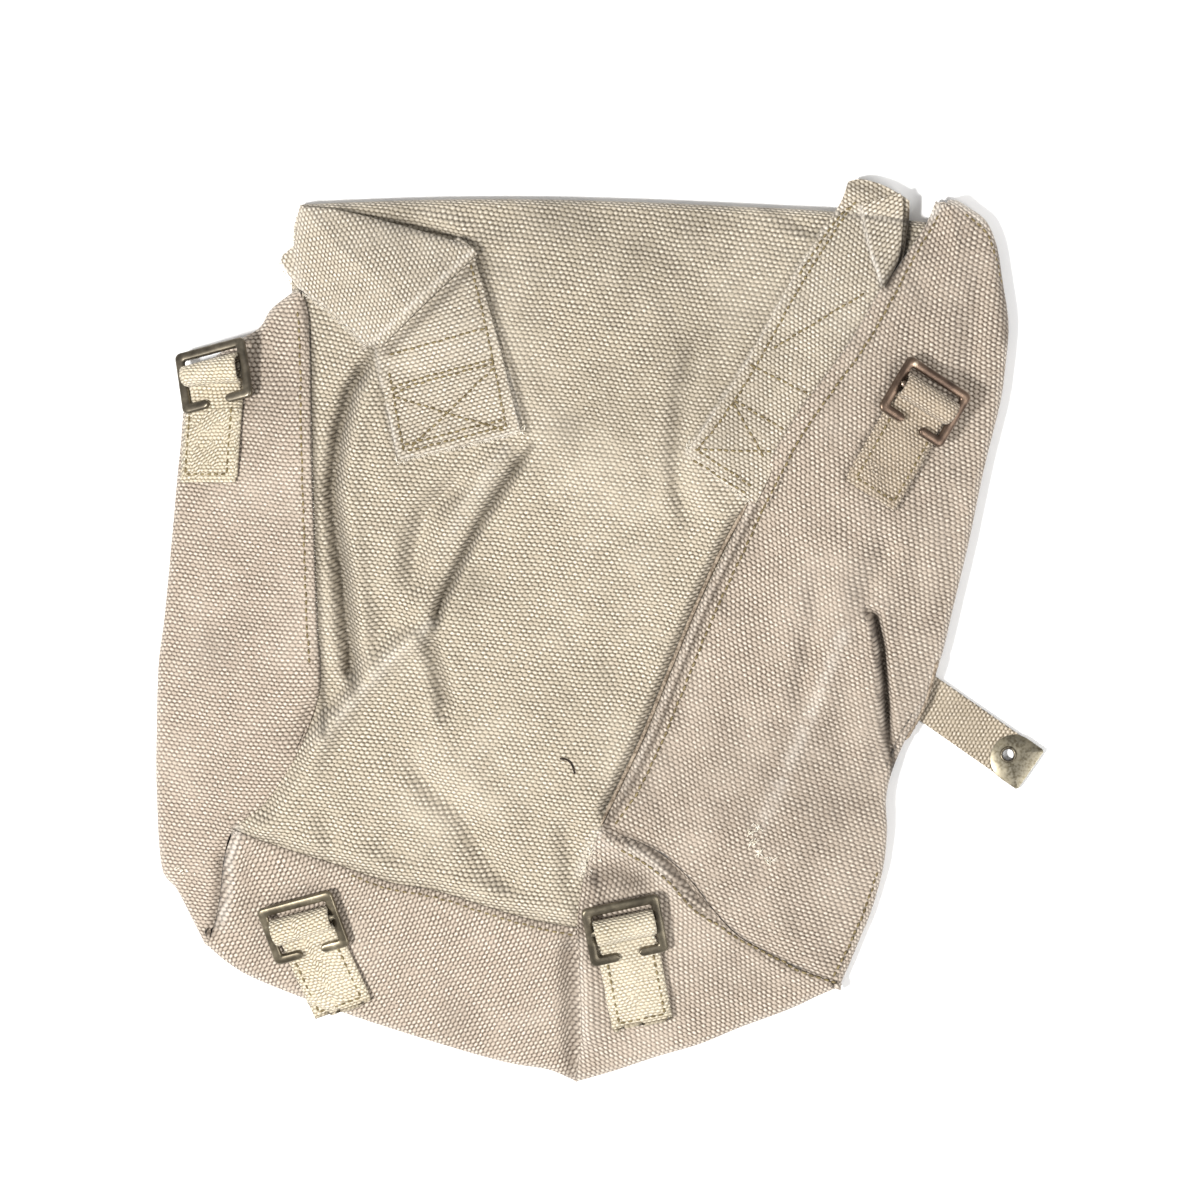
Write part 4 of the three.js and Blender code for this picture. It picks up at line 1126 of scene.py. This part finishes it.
def plate_parts():
    """Two thin faces and the turned end, with a hole for the eyelet."""
    outline = plate_outline(STRAP["width"] / 2 + 0.5 * MM, tip_back, tip_reach)
    toward = unit(outline.mean(axis=0) - outline)
    angles = np.arctan2(outline[:, 1], outline[:, 0])
    hole = PIERCED * np.stack([np.cos(angles), np.sin(angles)], axis=1)
    parts = []
    for low, high in ((0.02 * MM, 0.5 * MM), (tip_top - 0.6 * MM, tip_top)):
        shrinks = (0.35 * MM, low), (0.0, low + 0.1 * MM), (0.0, high - 0.2 * MM), (0.4 * MM, high)
        loops = [(outline + toward * shrink, z) for shrink, z in shrinks] + [(hole, high), (hole, low)]
        rings = [np.column_stack([ring, np.full(len(ring), z)]) for ring, z in loops]
        parts.append((np.vstack(rings), ring_faces(len(rings), len(outline), closed=True)))
    half = STRAP["width"] / 2 - 0.3 * MM
    wall_path = [(tip_reach - 0.4 * MM, y, tip_top / 2) for y in np.linspace(-half, half, 6)]
    parts.append(sweep(wall_path, rounded_section(0.9 * MM, tip_top - 0.2 * MM, 4)))
    placed = []
    for points, faces in parts:
        xy = eyelet_at + points[:, :1] * run + points[:, 1:2] * side
        placed.append((np.column_stack([xy, points[:, 2]]), faces))
    return placed


tip_plate = hard_piece("tip_plate", plate_parts())
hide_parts("strap_tip")
edge = tip_plate.modifiers.new("edges", "EDGE_SPLIT")
edge.split_angle = math.radians(45)


# %% Eyelet
def eyelet_parts(count=40):
    """A turned ring: a rolled rim above the plate and a throat through it."""
    top = eyelet_high.z / MM
    profile = [
        (2.3, 0.2), (2.25, top - 0.9), (2.4, top - 0.3), (2.8, top), (3.2, top - 0.1), (3.5, top - 0.5),
        (3.3, top - 0.75), (2.8, top - 0.8), (2.75, 0.2),
    ]
    rings = []
    for across, along in circle(MM, count):
        rings += [(eyelet_at[0] + r * across, eyelet_at[1] + r * along, z * MM) for r, z in profile]
    return [(np.array(rings), ring_faces(count, len(profile), closed=True))]


eyelet = hard_piece("eyelet_fine", eyelet_parts())
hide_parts("strap_eyelet")
print("strap made")

# %% [markdown]
# Stitches
#
# Every seam on the bag shows its thread. Each stitch is a short, slightly sunk capsule, repeated
# along a line at an even pitch and joined into one mesh, which costs few triangles.

# %% Stitch rows
def capsule(start, end, radius, sink=0.25):
    """A short thread between two points that dips at both ends."""
    start, end = np.asarray(start), np.asarray(end)
    path = np.array([start + (end - start) * t for t in (0, 0.2, 0.5, 0.8, 1)])
    path[:, 2] += np.array([-1.4, -sink, 0.0, -sink, -1.4]) * radius
    return sweep(path, circle(radius, 6), scale=[0.6, 1, 1.05, 1, 0.6])


def stitch_row(line, above, pitch=3.0, length=0.66, radius=0.46, jitter=0.2):
    """Capsules along a pixel line. Pitch and radius in mm, and above in metres."""
    points = plan(line)
    travel = np.linalg.norm(np.diff(smooth_line(points, 50), axis=0), axis=1).sum()
    count = max(int(travel / (pitch * MM)), 2)
    stops = smooth_line(points, count + 1)
    run = np.diff(stops, axis=0)
    shift = np.array([[chance.uniform(-1, 1), chance.uniform(-1, 1)] for _ in range(count)]) * jitter * MM
    gap = run * (1 - length) / 2
    low, high = stops[:-1] + gap + shift, stops[1:] - gap + shift
    least = TAB_LEAST if above > 2 * MM else 0  # stitches on the tabs stay up with them
    z = np.maximum(bag_height(np.vstack([low, high])) + above, least).reshape(2, -1)
    return [capsule((*low[k], z[0, k]), (*high[k], z[1, k]), radius * MM) for k in range(count)]


SEAM_ROWS = [
    # line, height above the bag in mm, pitch in mm
    ([(297, 310), (300, 350), (303, 470), (308, 620), (311, 664)], 1.62, 3.4),
    ([(350, 874), (389, 888), (437, 897), (488, 913), (533, 926), (574, 934)], 0.75, 3.2),
    ([(940, 214), (912, 262), (893, 297), (862, 350), (803, 433), (762, 510)], 4.2, 3.2),
    ([(763, 508), (740, 558), (715, 611), (689, 674), (663, 738), (637, 792), (614, 824)], 1.6, 3.4),
    ([(950, 209), (962, 210), (975, 220), (990, 236), (998, 262), (1003, 285)], 0.5, 3.2),
    ([(713, 921), (739, 939), (783, 962), (802, 973), (838, 984)], 1.1, 3.2),
    ([(620, 848), (650, 866), (672, 884), (690, 906), (712, 922)], 1.0, 3.2),
    ([(879, 872), (864, 914), (848, 950), (834, 978)], 0.35, 3.0),
]
ON_TAB = (2.62, 2.9)  # height above the bag and pitch of the tabs' stitches, in mm
TAB_ROWS = [
    [(394, 396), (408, 388), (450, 376), (496, 364)],
    [(392, 391), (406, 384), (448, 372), (495, 360)],
    [(396, 398), (505, 431)],
    [(412, 448), (494, 369)],
    [(408, 452), (505, 427)],
    [(404, 446), (504, 420)],
    [(471, 264), (490, 345), (507, 429)],
    [(390, 372), (394, 396), (405, 452)],
    [(389, 356), (486, 329)],
    [(858, 200), (846, 214), (804, 280), (756, 366), (724, 416), (696, 452)],
    [(852, 205), (838, 218), (798, 276)],
    [(748, 365), (814, 398)],
    [(733, 401), (790, 434)],
    [(733, 404), (763, 458)],
    [(694, 450), (772, 452)],
    [(692, 460), (745, 494)],
    [(698, 452), (752, 487)],
    [(772, 350), (865, 293)],
]
seam_parts = []
for line, above, pitch in SEAM_ROWS + [(line, *ON_TAB) for line in TAB_ROWS]:
    seam_parts += stitch_row(line, above * MM, pitch)
seam_stitches = hard_piece("seam_stitches", seam_parts)
print("stitches", len(seam_parts))

# %% Chape stitches
def chape_stitches(name, pitch=3.2 * MM, inset=3.0 * MM, below_roll=9 * MM):
    """Thread down both sides of a chape and across its end."""
    across, up, _, bar = SEATS[name]
    length, swing = CHAPES[name]
    half, top, low = CHAPE_WIDTH / 2 - inset, -ROLL_RADIUS - below_roll, inset - length
    corners = [(-half, top), (-half, low), (half, low), (half, top)]
    parts = []
    for (x0, y0), (x1, y1) in zip(corners[:-1], corners[1:]):
        count = max(int(math.hypot(x1 - x0, y1 - y0) / pitch), 2)
        for k in range(count):
            ends = []
            for t in ((k + 0.18) / count, (k + 0.82) / count):
                place = swung(np.array([[x0 + (x1 - x0) * t, y0 + (y1 - y0) * t]]), swing)[0]
                point = bar + across * place[0] + up * place[1]
                z = bag_height(point[None, :2])[0] + 2 * WEBBING + 0.35 * MM
                ends.append((point[0], point[1], z))
            parts.append(capsule(ends[0], ends[1], 0.45 * MM))
    return parts


chape_parts = []
for name in BUCKLES:
    chape_parts += chape_stitches(name)
chape_thread = hard_piece("chape_stitches", chape_parts)

# %% [markdown]
# Piping and frayed threads
#
# Where the gusset meets the back, the turned cloth makes a round ridge, like piping. And canvas
# this old frays: loose threads stand out along the cut edges. The ridge is a sweep along the
# seam, and the threads are thin bent hairs with a random start, all in one mesh.

# %% Piped ridge on the seams
def ridge_parts(line, radius, above, count=90):
    points = smooth_line(plan(line), count)
    ripple = 1 + 0.06 * np.sin(np.arange(count) * 1.3)
    ends = np.minimum(np.arange(count), np.arange(count)[::-1])
    scale = ripple * np.clip(0.35 + ends / 6, 0, 1)
    path = np.column_stack([points, bag_height(points) + above])
    return sweep(path, rounded_section(2 * radius, 1.6 * radius, 2.2, 12), scale)


RIDGES = [
    ([(747, 503), (720, 553), (696, 605), (670, 668), (644, 733), (618, 788), (601, 824)], 0.8, 1.2),
    ([(938, 660), (924, 706), (906, 740)], 1.2, 0.3),
]
ridge_list = [ridge_parts(line, radius * MM, above * MM) for line, radius, above in RIDGES]
piping = hard_piece("seam_piping", ridge_list)

# %% Frayed threads
def hair(start, direction, length, radius):
    """A thin bent thread that starts on the cloth."""
    bend = np.array([chance.uniform(-1, 1), chance.uniform(-1, 1), chance.uniform(-0.2, 0.9)])
    path = []
    for t in np.linspace(0, 1, 5):
        path.append(np.asarray(start) + np.asarray(direction) * length * t + bend * length * 0.35 * t * t)
    return sweep(path, circle(radius, 4), scale=[1, 0.95, 0.9, 0.8, 0.5])


def fringe(line, side, count, length, above, radius=0.13):
    """Hairs along a pixel line, to its left when side is 1 and to its right when it is -1."""
    points = smooth_line(plan(line), count)
    run, normal = forward(points), sideways(points) * side
    height = bag_height(points) + above * MM
    parts = []
    for k in range(count):
        lean = normal[k] + run[k] * chance.uniform(-0.9, 0.9)
        direction = np.array([lean[0], lean[1], chance.uniform(-0.1, 0.35)])
        start = (points[k, 0], points[k, 1], height[k])
        parts.append(hair(start, direction, length * MM * chance.uniform(0.4, 1.2), radius * MM))
    return parts


FRINGES = [
    # line, side, count, length in mm, height in mm
    ([(297, 215), (293, 245), (281, 262), (288, 277), (298, 289)], -1, 70, 1.8, 2.6),
    ([(298, 289), (329, 311), (366, 346)], -1, 60, 1.6, 2.6),
    ([(400, 461), (460, 448), (520, 432)], -1, 60, 1.4, 1.6),
    ([(686, 454), (716, 479), (748, 503)], 1, 46, 1.5, 1.6),
    ([(307, 330), (312, 470), (318, 640)], 1, 60, 1.0, 1.0),
    ([(601, 832), (590, 862), (579, 900)], 1, 40, 1.6, 0.6),
]
fray_parts = []
for line, side_of, count, length, above in FRINGES:
    fray_parts += fringe(line, side_of, count, length, above)
SCARS = [
    # place, count, spread in mm
    ((750, 832), 16, 1.2), ((752, 842), 18, 1.3), ((758, 852), 18, 1.4), ((768, 859), 14, 1.5),
    ((756, 826), 10, 1.2), ((592, 852), 26, 3.4), ((584, 870), 26, 2.8), ((688, 449), 14, 1.8),
    ((338, 310), 10, 2.0), ((400, 460), 10, 1.6), ((524, 432), 10, 1.6), ((182, 870), 12, 2.2),
]
for spot, count, spread in SCARS:
    centre = plan([spot])[0]
    for _ in range(count):
        place = centre + np.array([chance.gauss(0, 0.5), chance.gauss(0, 0.5)]) * spread * MM
        start = (place[0], place[1], bag_height(place[None])[0] + 0.2 * MM)
        lean = (chance.uniform(-1, 1), chance.uniform(-1, 1), 0.15)
        fray_parts.append(hair(start, lean, chance.uniform(1.0, 2.6) * MM, 0.26 * MM))
frayed = hard_piece("frayed_threads", fray_parts)

stray_plan = smooth_line(plan([(560, 758), (567, 759), (572, 764), (575, 773)]), 12)
stray_path = np.column_stack([stray_plan, bag_height(stray_plan) + 0.35 * MM])
stray_hair = sweep(stray_path, rounded_section(0.8 * MM, 0.6 * MM, 2, 8))
stray_thread = hard_piece("stray_thread", [stray_hair])
print("threads", len(fray_parts))

# %% [markdown]
# Canvas
#
# This canvas is a plain weave of thick yarn, and close up it reads as staggered grains with dark
# pits between them. The group below turns the weave's coordinates into that pattern: a grain is a
# small dome in a brick layout, each with its own tone. The material paints shade into the pits and
# a highlight onto the grain tops. A second group gives large soft stains.

# %% Helpers for node groups
class Tree:
    """Short calls to add nodes to a tree and link them."""

    def __init__(self, tree):
        self.tree = tree

    def node(self, kind, **settings):
        made = self.tree.nodes.new(kind)
        for key, value in settings.items():
            setattr(made, key, value)
        return made

    def put(self, socket, value):
        if isinstance(value, bpy.types.NodeSocket):
            self.tree.links.new(value, socket)
        elif value is not None:
            socket.default_value = value

    def math(self, operation, a, b=None, c=None, clamp=False):
        made = self.node("ShaderNodeMath", operation=operation, use_clamp=clamp)
        for socket, value in zip(made.inputs, (a, b, c)):
            self.put(socket, value)
        return made.outputs[0]

    def mix(self, share, a, b, blend="MIX"):
        made = self.node("ShaderNodeMix", data_type="RGBA", blend_type=blend)
        self.put(made.inputs[0], share)
        self.put(made.inputs[6], a)
        self.put(made.inputs[7], b)
        return made.outputs[2]

    def ramp(self, value, low, high):
        made = self.node("ShaderNodeMapRange", interpolation_type="SMOOTHSTEP")
        self.put(made.inputs[0], value)
        self.put(made.inputs[1], low)
        self.put(made.inputs[2], high)
        return made.outputs[0]

    def noise(self, vector, scale, detail=3.0, rough=0.55):
        made = self.node("ShaderNodeTexNoise")
        self.put(made.inputs["Vector"], vector)
        self.put(made.inputs["Scale"], scale)
        self.put(made.inputs["Detail"], detail)
        self.put(made.inputs["Roughness"], rough)
        return made


def new_group(name, inputs, outputs):
    """A node group with named sockets; inputs are (name, kind, default)."""
    group = bpy.data.node_groups.new(name, "ShaderNodeTree")
    for label, kind, value in inputs:
        socket = group.interface.new_socket(label, in_out="INPUT", socket_type=kind)
        if value is not None:
            socket.default_value = value
    for label, kind in outputs:
        group.interface.new_socket(label, in_out="OUTPUT", socket_type=kind)
    tree = Tree(group)
    return tree, tree.node("NodeGroupInput"), tree.node("NodeGroupOutput")


# %% Weave group
def build_weave():
    tree, given, out = new_group(
        "Staggered weave",
        [("Map", "NodeSocketVector", None), ("Pitch Across", "NodeSocketFloat", 1.6),
         ("Pitch Along", "NodeSocketFloat", 1.3), ("Wander", "NodeSocketFloat", 0.25)],
        [("Grain", "NodeSocketFloat"), ("Tone", "NodeSocketFloat"), ("Height", "NodeSocketFloat")],
    )
    split = tree.node("ShaderNodeSeparateXYZ")
    tree.put(split.inputs[0], given.outputs["Map"])
    drifts = []
    for scale, amount in ((260.0, 1.0), (45.0, 3.0)):
        parts = tree.node("ShaderNodeSeparateColor")
        tree.put(parts.inputs[0], tree.noise(given.outputs["Map"], scale, 2.0).outputs["Color"])
        reach = tree.math("MULTIPLY", given.outputs["Wander"], amount)
        centred = [tree.math("SUBTRACT", parts.outputs[k], 0.5) for k in (0, 1)]
        drifts.append([tree.math("MULTIPLY", value, reach) for value in centred])
    places = []
    for k, pitch in enumerate(("Pitch Across", "Pitch Along")):
        steps = tree.math("DIVIDE", split.outputs[k], tree.math("MULTIPLY", given.outputs[pitch], MM))
        places.append(tree.math("ADD", steps, tree.math("ADD", drifts[0][k], drifts[1][k])))
    across, along = places
    row = tree.math("FLOOR", along)
    stagger = tree.math("MULTIPLY", tree.math("FLOORED_MODULO", row, 2.0), 0.5)
    level = tree.math("SUBTRACT", along, 0.5)
    middle = tree.math("SUBTRACT", across, 0.5)
    half_level = tree.math("MULTIPLY", level, 0.5)
    waves = [
        (level, 0.27),
        (tree.math("ADD", middle, half_level), 0.22),
        (tree.math("SUBTRACT", middle, half_level), 0.17),
    ]
    dome = 0.36
    for phase, share in waves:
        wave = tree.math("COSINE", tree.math("MULTIPLY", phase, 2 * math.pi))
        dome = tree.math("ADD", dome, tree.math("MULTIPLY", wave, share))
    cell = tree.node("ShaderNodeCombineXYZ")
    tree.put(cell.inputs[0], tree.math("FLOOR", tree.math("ADD", across, stagger)))
    tree.put(cell.inputs[1], row)
    tone = tree.node("ShaderNodeTexWhiteNoise", noise_dimensions="3D")
    tree.put(tone.inputs["Vector"], cell.outputs[0])
    fibre = tree.noise(given.outputs["Map"], 1500.0, 3.0)
    fuzz = tree.math("MULTIPLY", tree.math("SUBTRACT", fibre.outputs[0], 0.5), 0.7)
    dome = tree.math("ADD", dome, fuzz)
    height = tree.math("MULTIPLY", dome, tree.math("ADD", 0.75, tree.math("MULTIPLY", tone.outputs[0], 0.4)))
    tree.put(out.inputs["Grain"], dome)
    tree.put(out.inputs["Tone"], tone.outputs[0])
    tree.put(out.inputs["Height"], height)
    return tree.tree


# %% Stain group
def build_stains():
    tree, given, out = new_group(
        "Stains and fading",
        [("Place", "NodeSocketVector", None), ("Size", "NodeSocketFloat", 1.0)],
        [("Stain", "NodeSocketFloat"), ("Fade", "NodeSocketFloat"), ("Mottle", "NodeSocketFloat")],
    )
    scaled = tree.node("ShaderNodeVectorMath", operation="SCALE")
    tree.put(scaled.inputs[0], given.outputs["Place"])
    tree.put(scaled.inputs[3], given.outputs["Size"])
    stain = tree.noise(scaled.outputs[0], 9.0, 5.0, 0.6)
    fade = tree.noise(scaled.outputs[0], 22.0, 4.0, 0.6)
    mottle = tree.noise(scaled.outputs[0], 140.0, 3.0, 0.65)
    tree.put(out.inputs["Stain"], tree.ramp(stain.outputs[0], 0.48, 0.72))
    tree.put(out.inputs["Fade"], tree.ramp(fade.outputs[0], 0.45, 0.7))
    tree.put(out.inputs["Mottle"], mottle.outputs[0])
    return tree.tree


WEAVE = build_weave()
STAINS = build_stains()


# %% Shared steps of the materials
def new_material(name):
    """A material with the helper for its nodes and its shader."""
    material = bpy.data.materials.new(name)
    material.use_nodes = True
    return material, Tree(material.node_tree), material.node_tree.nodes["Principled BSDF"]


def add_relief(tree, shader, height, distance, strength=1.0):
    """Fine relief from a height, with its depth in mm."""
    raised = tree.node("ShaderNodeBump")
    tree.put(raised.inputs["Strength"], strength)
    tree.put(raised.inputs["Distance"], distance * MM)
    tree.put(raised.inputs["Height"], height)
    tree.put(shader.inputs["Normal"], raised.outputs[0])


def srgb(red, green, blue):
    """Linear colour from the 0 to 255 values of a picture."""
    linear = [((v / 255 + 0.055) / 1.055) ** 2.4 if v > 10 else v / 255 / 12.92 for v in (red, green, blue)]
    return (*linear, 1.0)


# %% Cloth materials
# Pale colour for rubbed wear and for painted highlight on ridges and rolls.
RUBBED_AND_HIGHLIGHT = (214, 207, 197)
WANDER = 0.36  # how far the yarns stray from their rows, in pitches


def cloth_material(name, light, base, dark, pitch, bump=0.35):
    material, tree, shader = new_material(name)
    weave = tree.node("ShaderNodeGroup", node_tree=WEAVE)
    tree.put(weave.inputs["Map"], tree.node("ShaderNodeUVMap", uv_map="weave").outputs[0])
    tree.put(weave.inputs["Pitch Across"], pitch[0])
    tree.put(weave.inputs["Pitch Along"], pitch[1])
    tree.put(weave.inputs["Wander"], WANDER)
    stains = tree.node("ShaderNodeGroup", node_tree=STAINS)
    tree.put(stains.inputs["Place"], tree.node("ShaderNodeTexCoord").outputs["Object"])
    painted_shade, wear_and_highlight, smudge_and_shade = (
        tree.node("ShaderNodeAttribute", attribute_name=mark).outputs["Fac"] for mark in MARKS
    )
    light, base, dark = srgb(*light), srgb(*base), srgb(*dark)
    grain, tone, mottle = weave.outputs["Grain"], weave.outputs["Tone"], stains.outputs["Mottle"]
    depth = tree.math("MULTIPLY", tree.ramp(mottle, 0.3, 0.7), 0.06)
    # Painted shade: the pits between the grains are darkened.
    pit = tree.ramp(grain, tree.math("SUBTRACT", depth, 0.16), tree.math("ADD", depth, 0.4))
    yarn = tree.mix(tree.math("MULTIPLY", tone, 0.3), base, dark)
    colour = tree.mix(pit, dark, yarn)
    # Painted highlight: the grain tops are mixed toward the light colour.
    top = tree.math("MULTIPLY", tree.ramp(grain, 0.15, 0.95), tree.math("MULTIPLY_ADD", tone, 0.8, 0.2))
    colour = tree.mix(top, colour, light)
    colour = tree.mix(tree.math("MULTIPLY", stains.outputs["Stain"], 0.22), colour, dark)
    # Pale marks: rubbed wear, and painted highlight on ridges and rolls.
    pale = tree.math("MULTIPLY", wear_and_highlight, tree.ramp(mottle, 0.3, 0.6))
    pale = tree.math("MULTIPLY", pale, tree.math("MULTIPLY_ADD", pit, 0.5, 0.35))
    colour = tree.mix(pale, colour, srgb(*RUBBED_AND_HIGHLIGHT))
    colour = tree.mix(tree.math("MULTIPLY", stains.outputs["Fade"], 0.14), colour, light)
    # Painted shade in grooves and gaps, together with smudges that hold stains and painted shade.
    shade_and_stain = tree.math("MULTIPLY_ADD", painted_shade, 0.6, tree.math("MULTIPLY", smudge_and_shade, 0.5), clamp=True)
    shade_and_stain_colour = (*(0.6 * value for value in dark[:3]), 1.0)
    tree.put(shader.inputs["Base Color"], tree.mix(shade_and_stain, colour, shade_and_stain_colour))
    tree.put(shader.inputs["Roughness"], tree.math("MULTIPLY_ADD", mottle, 0.16, 0.82))
    add_relief(tree, shader, weave.outputs["Height"], bump)
    shader.inputs["Specular IOR Level"].default_value = 0.15
    shader.inputs["Sheen Weight"].default_value = 0.1
    shader.inputs["Sheen Roughness"].default_value = 0.6
    return material


CANVAS_PITCH, WEBBING_PITCH = (2.33, 1.62), (2.1, 1.5)  # of the weave, across and along, in mm
back_material = cloth_material(
    "back_canvas", (220, 209, 191), (168, 157, 138), (64, 55, 42), CANVAS_PITCH)
gusset_material = cloth_material(
    "gusset_canvas", (213, 200, 184), (161, 147, 132), (64, 53, 42), CANVAS_PITCH)
tab_material = cloth_material(
    "tab_canvas", (222, 212, 196), (171, 160, 142), (68, 58, 45), (2.2, 1.55))
webbing_material = cloth_material(
    "webbing", (234, 224, 203), (192, 180, 156), (94, 82, 61), WEBBING_PITCH, bump=0.5)
worn_webbing = cloth_material(
    "worn_webbing", (213, 199, 180), (165, 150, 130), (78, 65, 50), WEBBING_PITCH, bump=0.5)
strap_material = cloth_material(
    "strap_webbing", (220, 207, 188), (172, 159, 139), (80, 69, 54), (1.9, 1.5), bump=0.4)

for piece, material in (
    (back_panel, back_material), (front_panel, back_material), (left_gusset, gusset_material),
    (bottom_gusset, gusset_material), (right_gusset, gusset_material), (left_tab, tab_material),
    (left_fold, tab_material), (right_tab, tab_material), (right_fold, tab_material),
    (closing_strap, strap_material),
):
    piece.data.materials.append(material)
for name in BUCKLES:
    material = worn_webbing if name == "upper_right" else webbing_material
    bpy.data.objects[name + "_webbing"].data.materials.append(material)


# %% Thread and brass
def thread_material(name, base, dark):
    material, tree, shader = new_material(name)
    place = tree.node("ShaderNodeTexCoord").outputs["Object"]
    twist = tree.noise(place, 900.0, 2.0).outputs[0]
    colour = tree.mix(tree.ramp(twist, 0.35, 0.65), srgb(*dark), srgb(*base))
    tree.put(shader.inputs["Base Color"], colour)
    tree.put(shader.inputs["Roughness"], tree.math("MULTIPLY_ADD", twist, 0.15, 0.8))
    add_relief(tree, shader, twist, 0.12, 0.6)
    shader.inputs["Specular IOR Level"].default_value = 0.15
    return material


def brass_material(name, base, dark, bright, wear):
    material, tree, shader = new_material(name)
    place = tree.node("ShaderNodeTexCoord").outputs["Object"]
    broad = tree.noise(place, 110.0, 4.0, 0.6).outputs[0]
    fine = tree.noise(place, 900.0, 3.0, 0.6).outputs[0]
    edges = tree.ramp(tree.node("ShaderNodeNewGeometry").outputs["Pointiness"], 0.53, 0.64)
    colour = tree.mix(tree.ramp(broad, 0.35, 0.68), srgb(*dark), srgb(*base))
    on_edges = tree.math("MULTIPLY", tree.math("MULTIPLY", edges, tree.ramp(fine, 0.3, 0.6)), wear)
    on_faces = tree.math("MULTIPLY", tree.ramp(broad, 0.62, 0.75), 0.7)
    colour = tree.mix(tree.math("MAXIMUM", on_edges, on_faces), colour, srgb(*bright))
    tree.put(shader.inputs["Base Color"], colour)
    tree.put(shader.inputs["Roughness"], tree.math("MULTIPLY_ADD", fine, 0.22, 0.26))
    add_relief(tree, shader, tree.math("MULTIPLY_ADD", fine, 0.4, broad), 0.08, 0.35)
    shader.inputs["Metallic"].default_value = 0.85
    return material


thread = thread_material("olive_thread", (134, 120, 88), (88, 76, 53))
pale_thread = thread_material("pale_thread", (226, 220, 208), (180, 170, 150))
dark_thread = thread_material("dark_thread", (62, 52, 44), (34, 28, 24))
piping_material = thread_material("piping_cloth", (158, 144, 127), (100, 87, 73))
stray_thread.data.materials.append(dark_thread)
seam_stitches.data.materials.append(thread)
chape_thread.data.materials.append(thread)
frayed.data.materials.append(pale_thread)
piping.data.materials.append(piping_material)
BRASS = {
    "upper_left": ((112, 104, 90), (74, 68, 58), (178, 170, 152), 0.7),
    "upper_right": ((108, 90, 76), (70, 56, 47), (206, 190, 168), 0.9),
    "lower_left": ((120, 111, 93), (80, 73, 60), (172, 163, 141), 0.7),
    "lower_right": ((112, 104, 88), (74, 68, 57), (166, 157, 137), 0.6),
}
for name in BUCKLES:
    brass = brass_material(name + "_brass", *BRASS[name])
    bpy.data.objects[name + "_buckle_fine"].data.materials.append(brass)
tip_plate.data.materials.append(
    brass_material("tip_brass", (128, 119, 98), (84, 77, 62), (178, 172, 156), 0.7))
# The eyelet's brass is darker than the rest, which also paints the shade inside its throat.
eyelet.data.materials.append(
    brass_material("eyelet_brass_with_painted_shade", (92, 84, 70), (56, 50, 42), (176, 166, 144), 0.9))

# %% [markdown]
# Studio
#
# The photograph is a plain product shot from straight above: a white ground and soft light from
# the upper left. A very long lens a few metres up keeps the plan view nearly flat.

# %% Floor, light and camera
floor_mesh = mesh_from("floor", [(-4, -4, 0), (4, -4, 0), (4, 4, 0), (-4, 4, 0)], [(0, 1, 2, 3)])
floor = new_object("floor", floor_mesh)
floor_material, floor_tree, floor_shader = new_material("pale_floor")
floor_grain = floor_tree.noise(floor_tree.node("ShaderNodeTexCoord").outputs["Object"], 3.0)
floor_colour = floor_tree.mix(floor_grain.outputs[0], (0.93, 0.93, 0.93, 1), (0.96, 0.96, 0.96, 1))
floor_tree.put(floor_shader.inputs["Base Color"], floor_colour)
floor_shader.inputs["Roughness"].default_value = 0.9
floor_mesh.materials.append(floor_material)

world = bpy.data.worlds.new("studio")
bpy.context.scene.world = world
world.use_nodes = True
world.node_tree.nodes["Background"].inputs["Color"].default_value = (1.0, 1.0, 1.0, 1)
world.node_tree.nodes["Background"].inputs["Strength"].default_value = 0.55


def soft_light(name, place, size, power):
    data = bpy.data.lights.new(name, "AREA")
    data.energy = power
    data.size = size
    lamp = new_object(name, data)
    lamp.location = place
    lamp.rotation_euler = (-Vector(place)).to_track_quat("-Z", "Y").to_euler()


soft_light("key", (-4.0, -1.7, 6.5), 0.9, 900)
soft_light("fill", (4.4, -2.6, 5.4), 3.0, 300)

CAMERA_HEIGHT = 4.0
PHOTO_SIDE = 1200  # pixels
PHOTO_MIDDLE = plan([(600, 600)])[0]
MIDDLE_HEIGHT = 0.02  # half way up the bag, where the picture's scale is true
camera_data = bpy.data.cameras.new("camera")
camera = new_object("camera", camera_data)
camera.location = (*PHOTO_MIDDLE, CAMERA_HEIGHT)
camera_data.sensor_width = 36
camera_data.lens = camera_data.sensor_width * (CAMERA_HEIGHT - MIDDLE_HEIGHT) / (PHOTO_SIDE * PIXEL)
camera_data.clip_end = 100
bpy.context.scene.camera = camera
bpy.context.scene.view_settings.view_transform = "Standard"
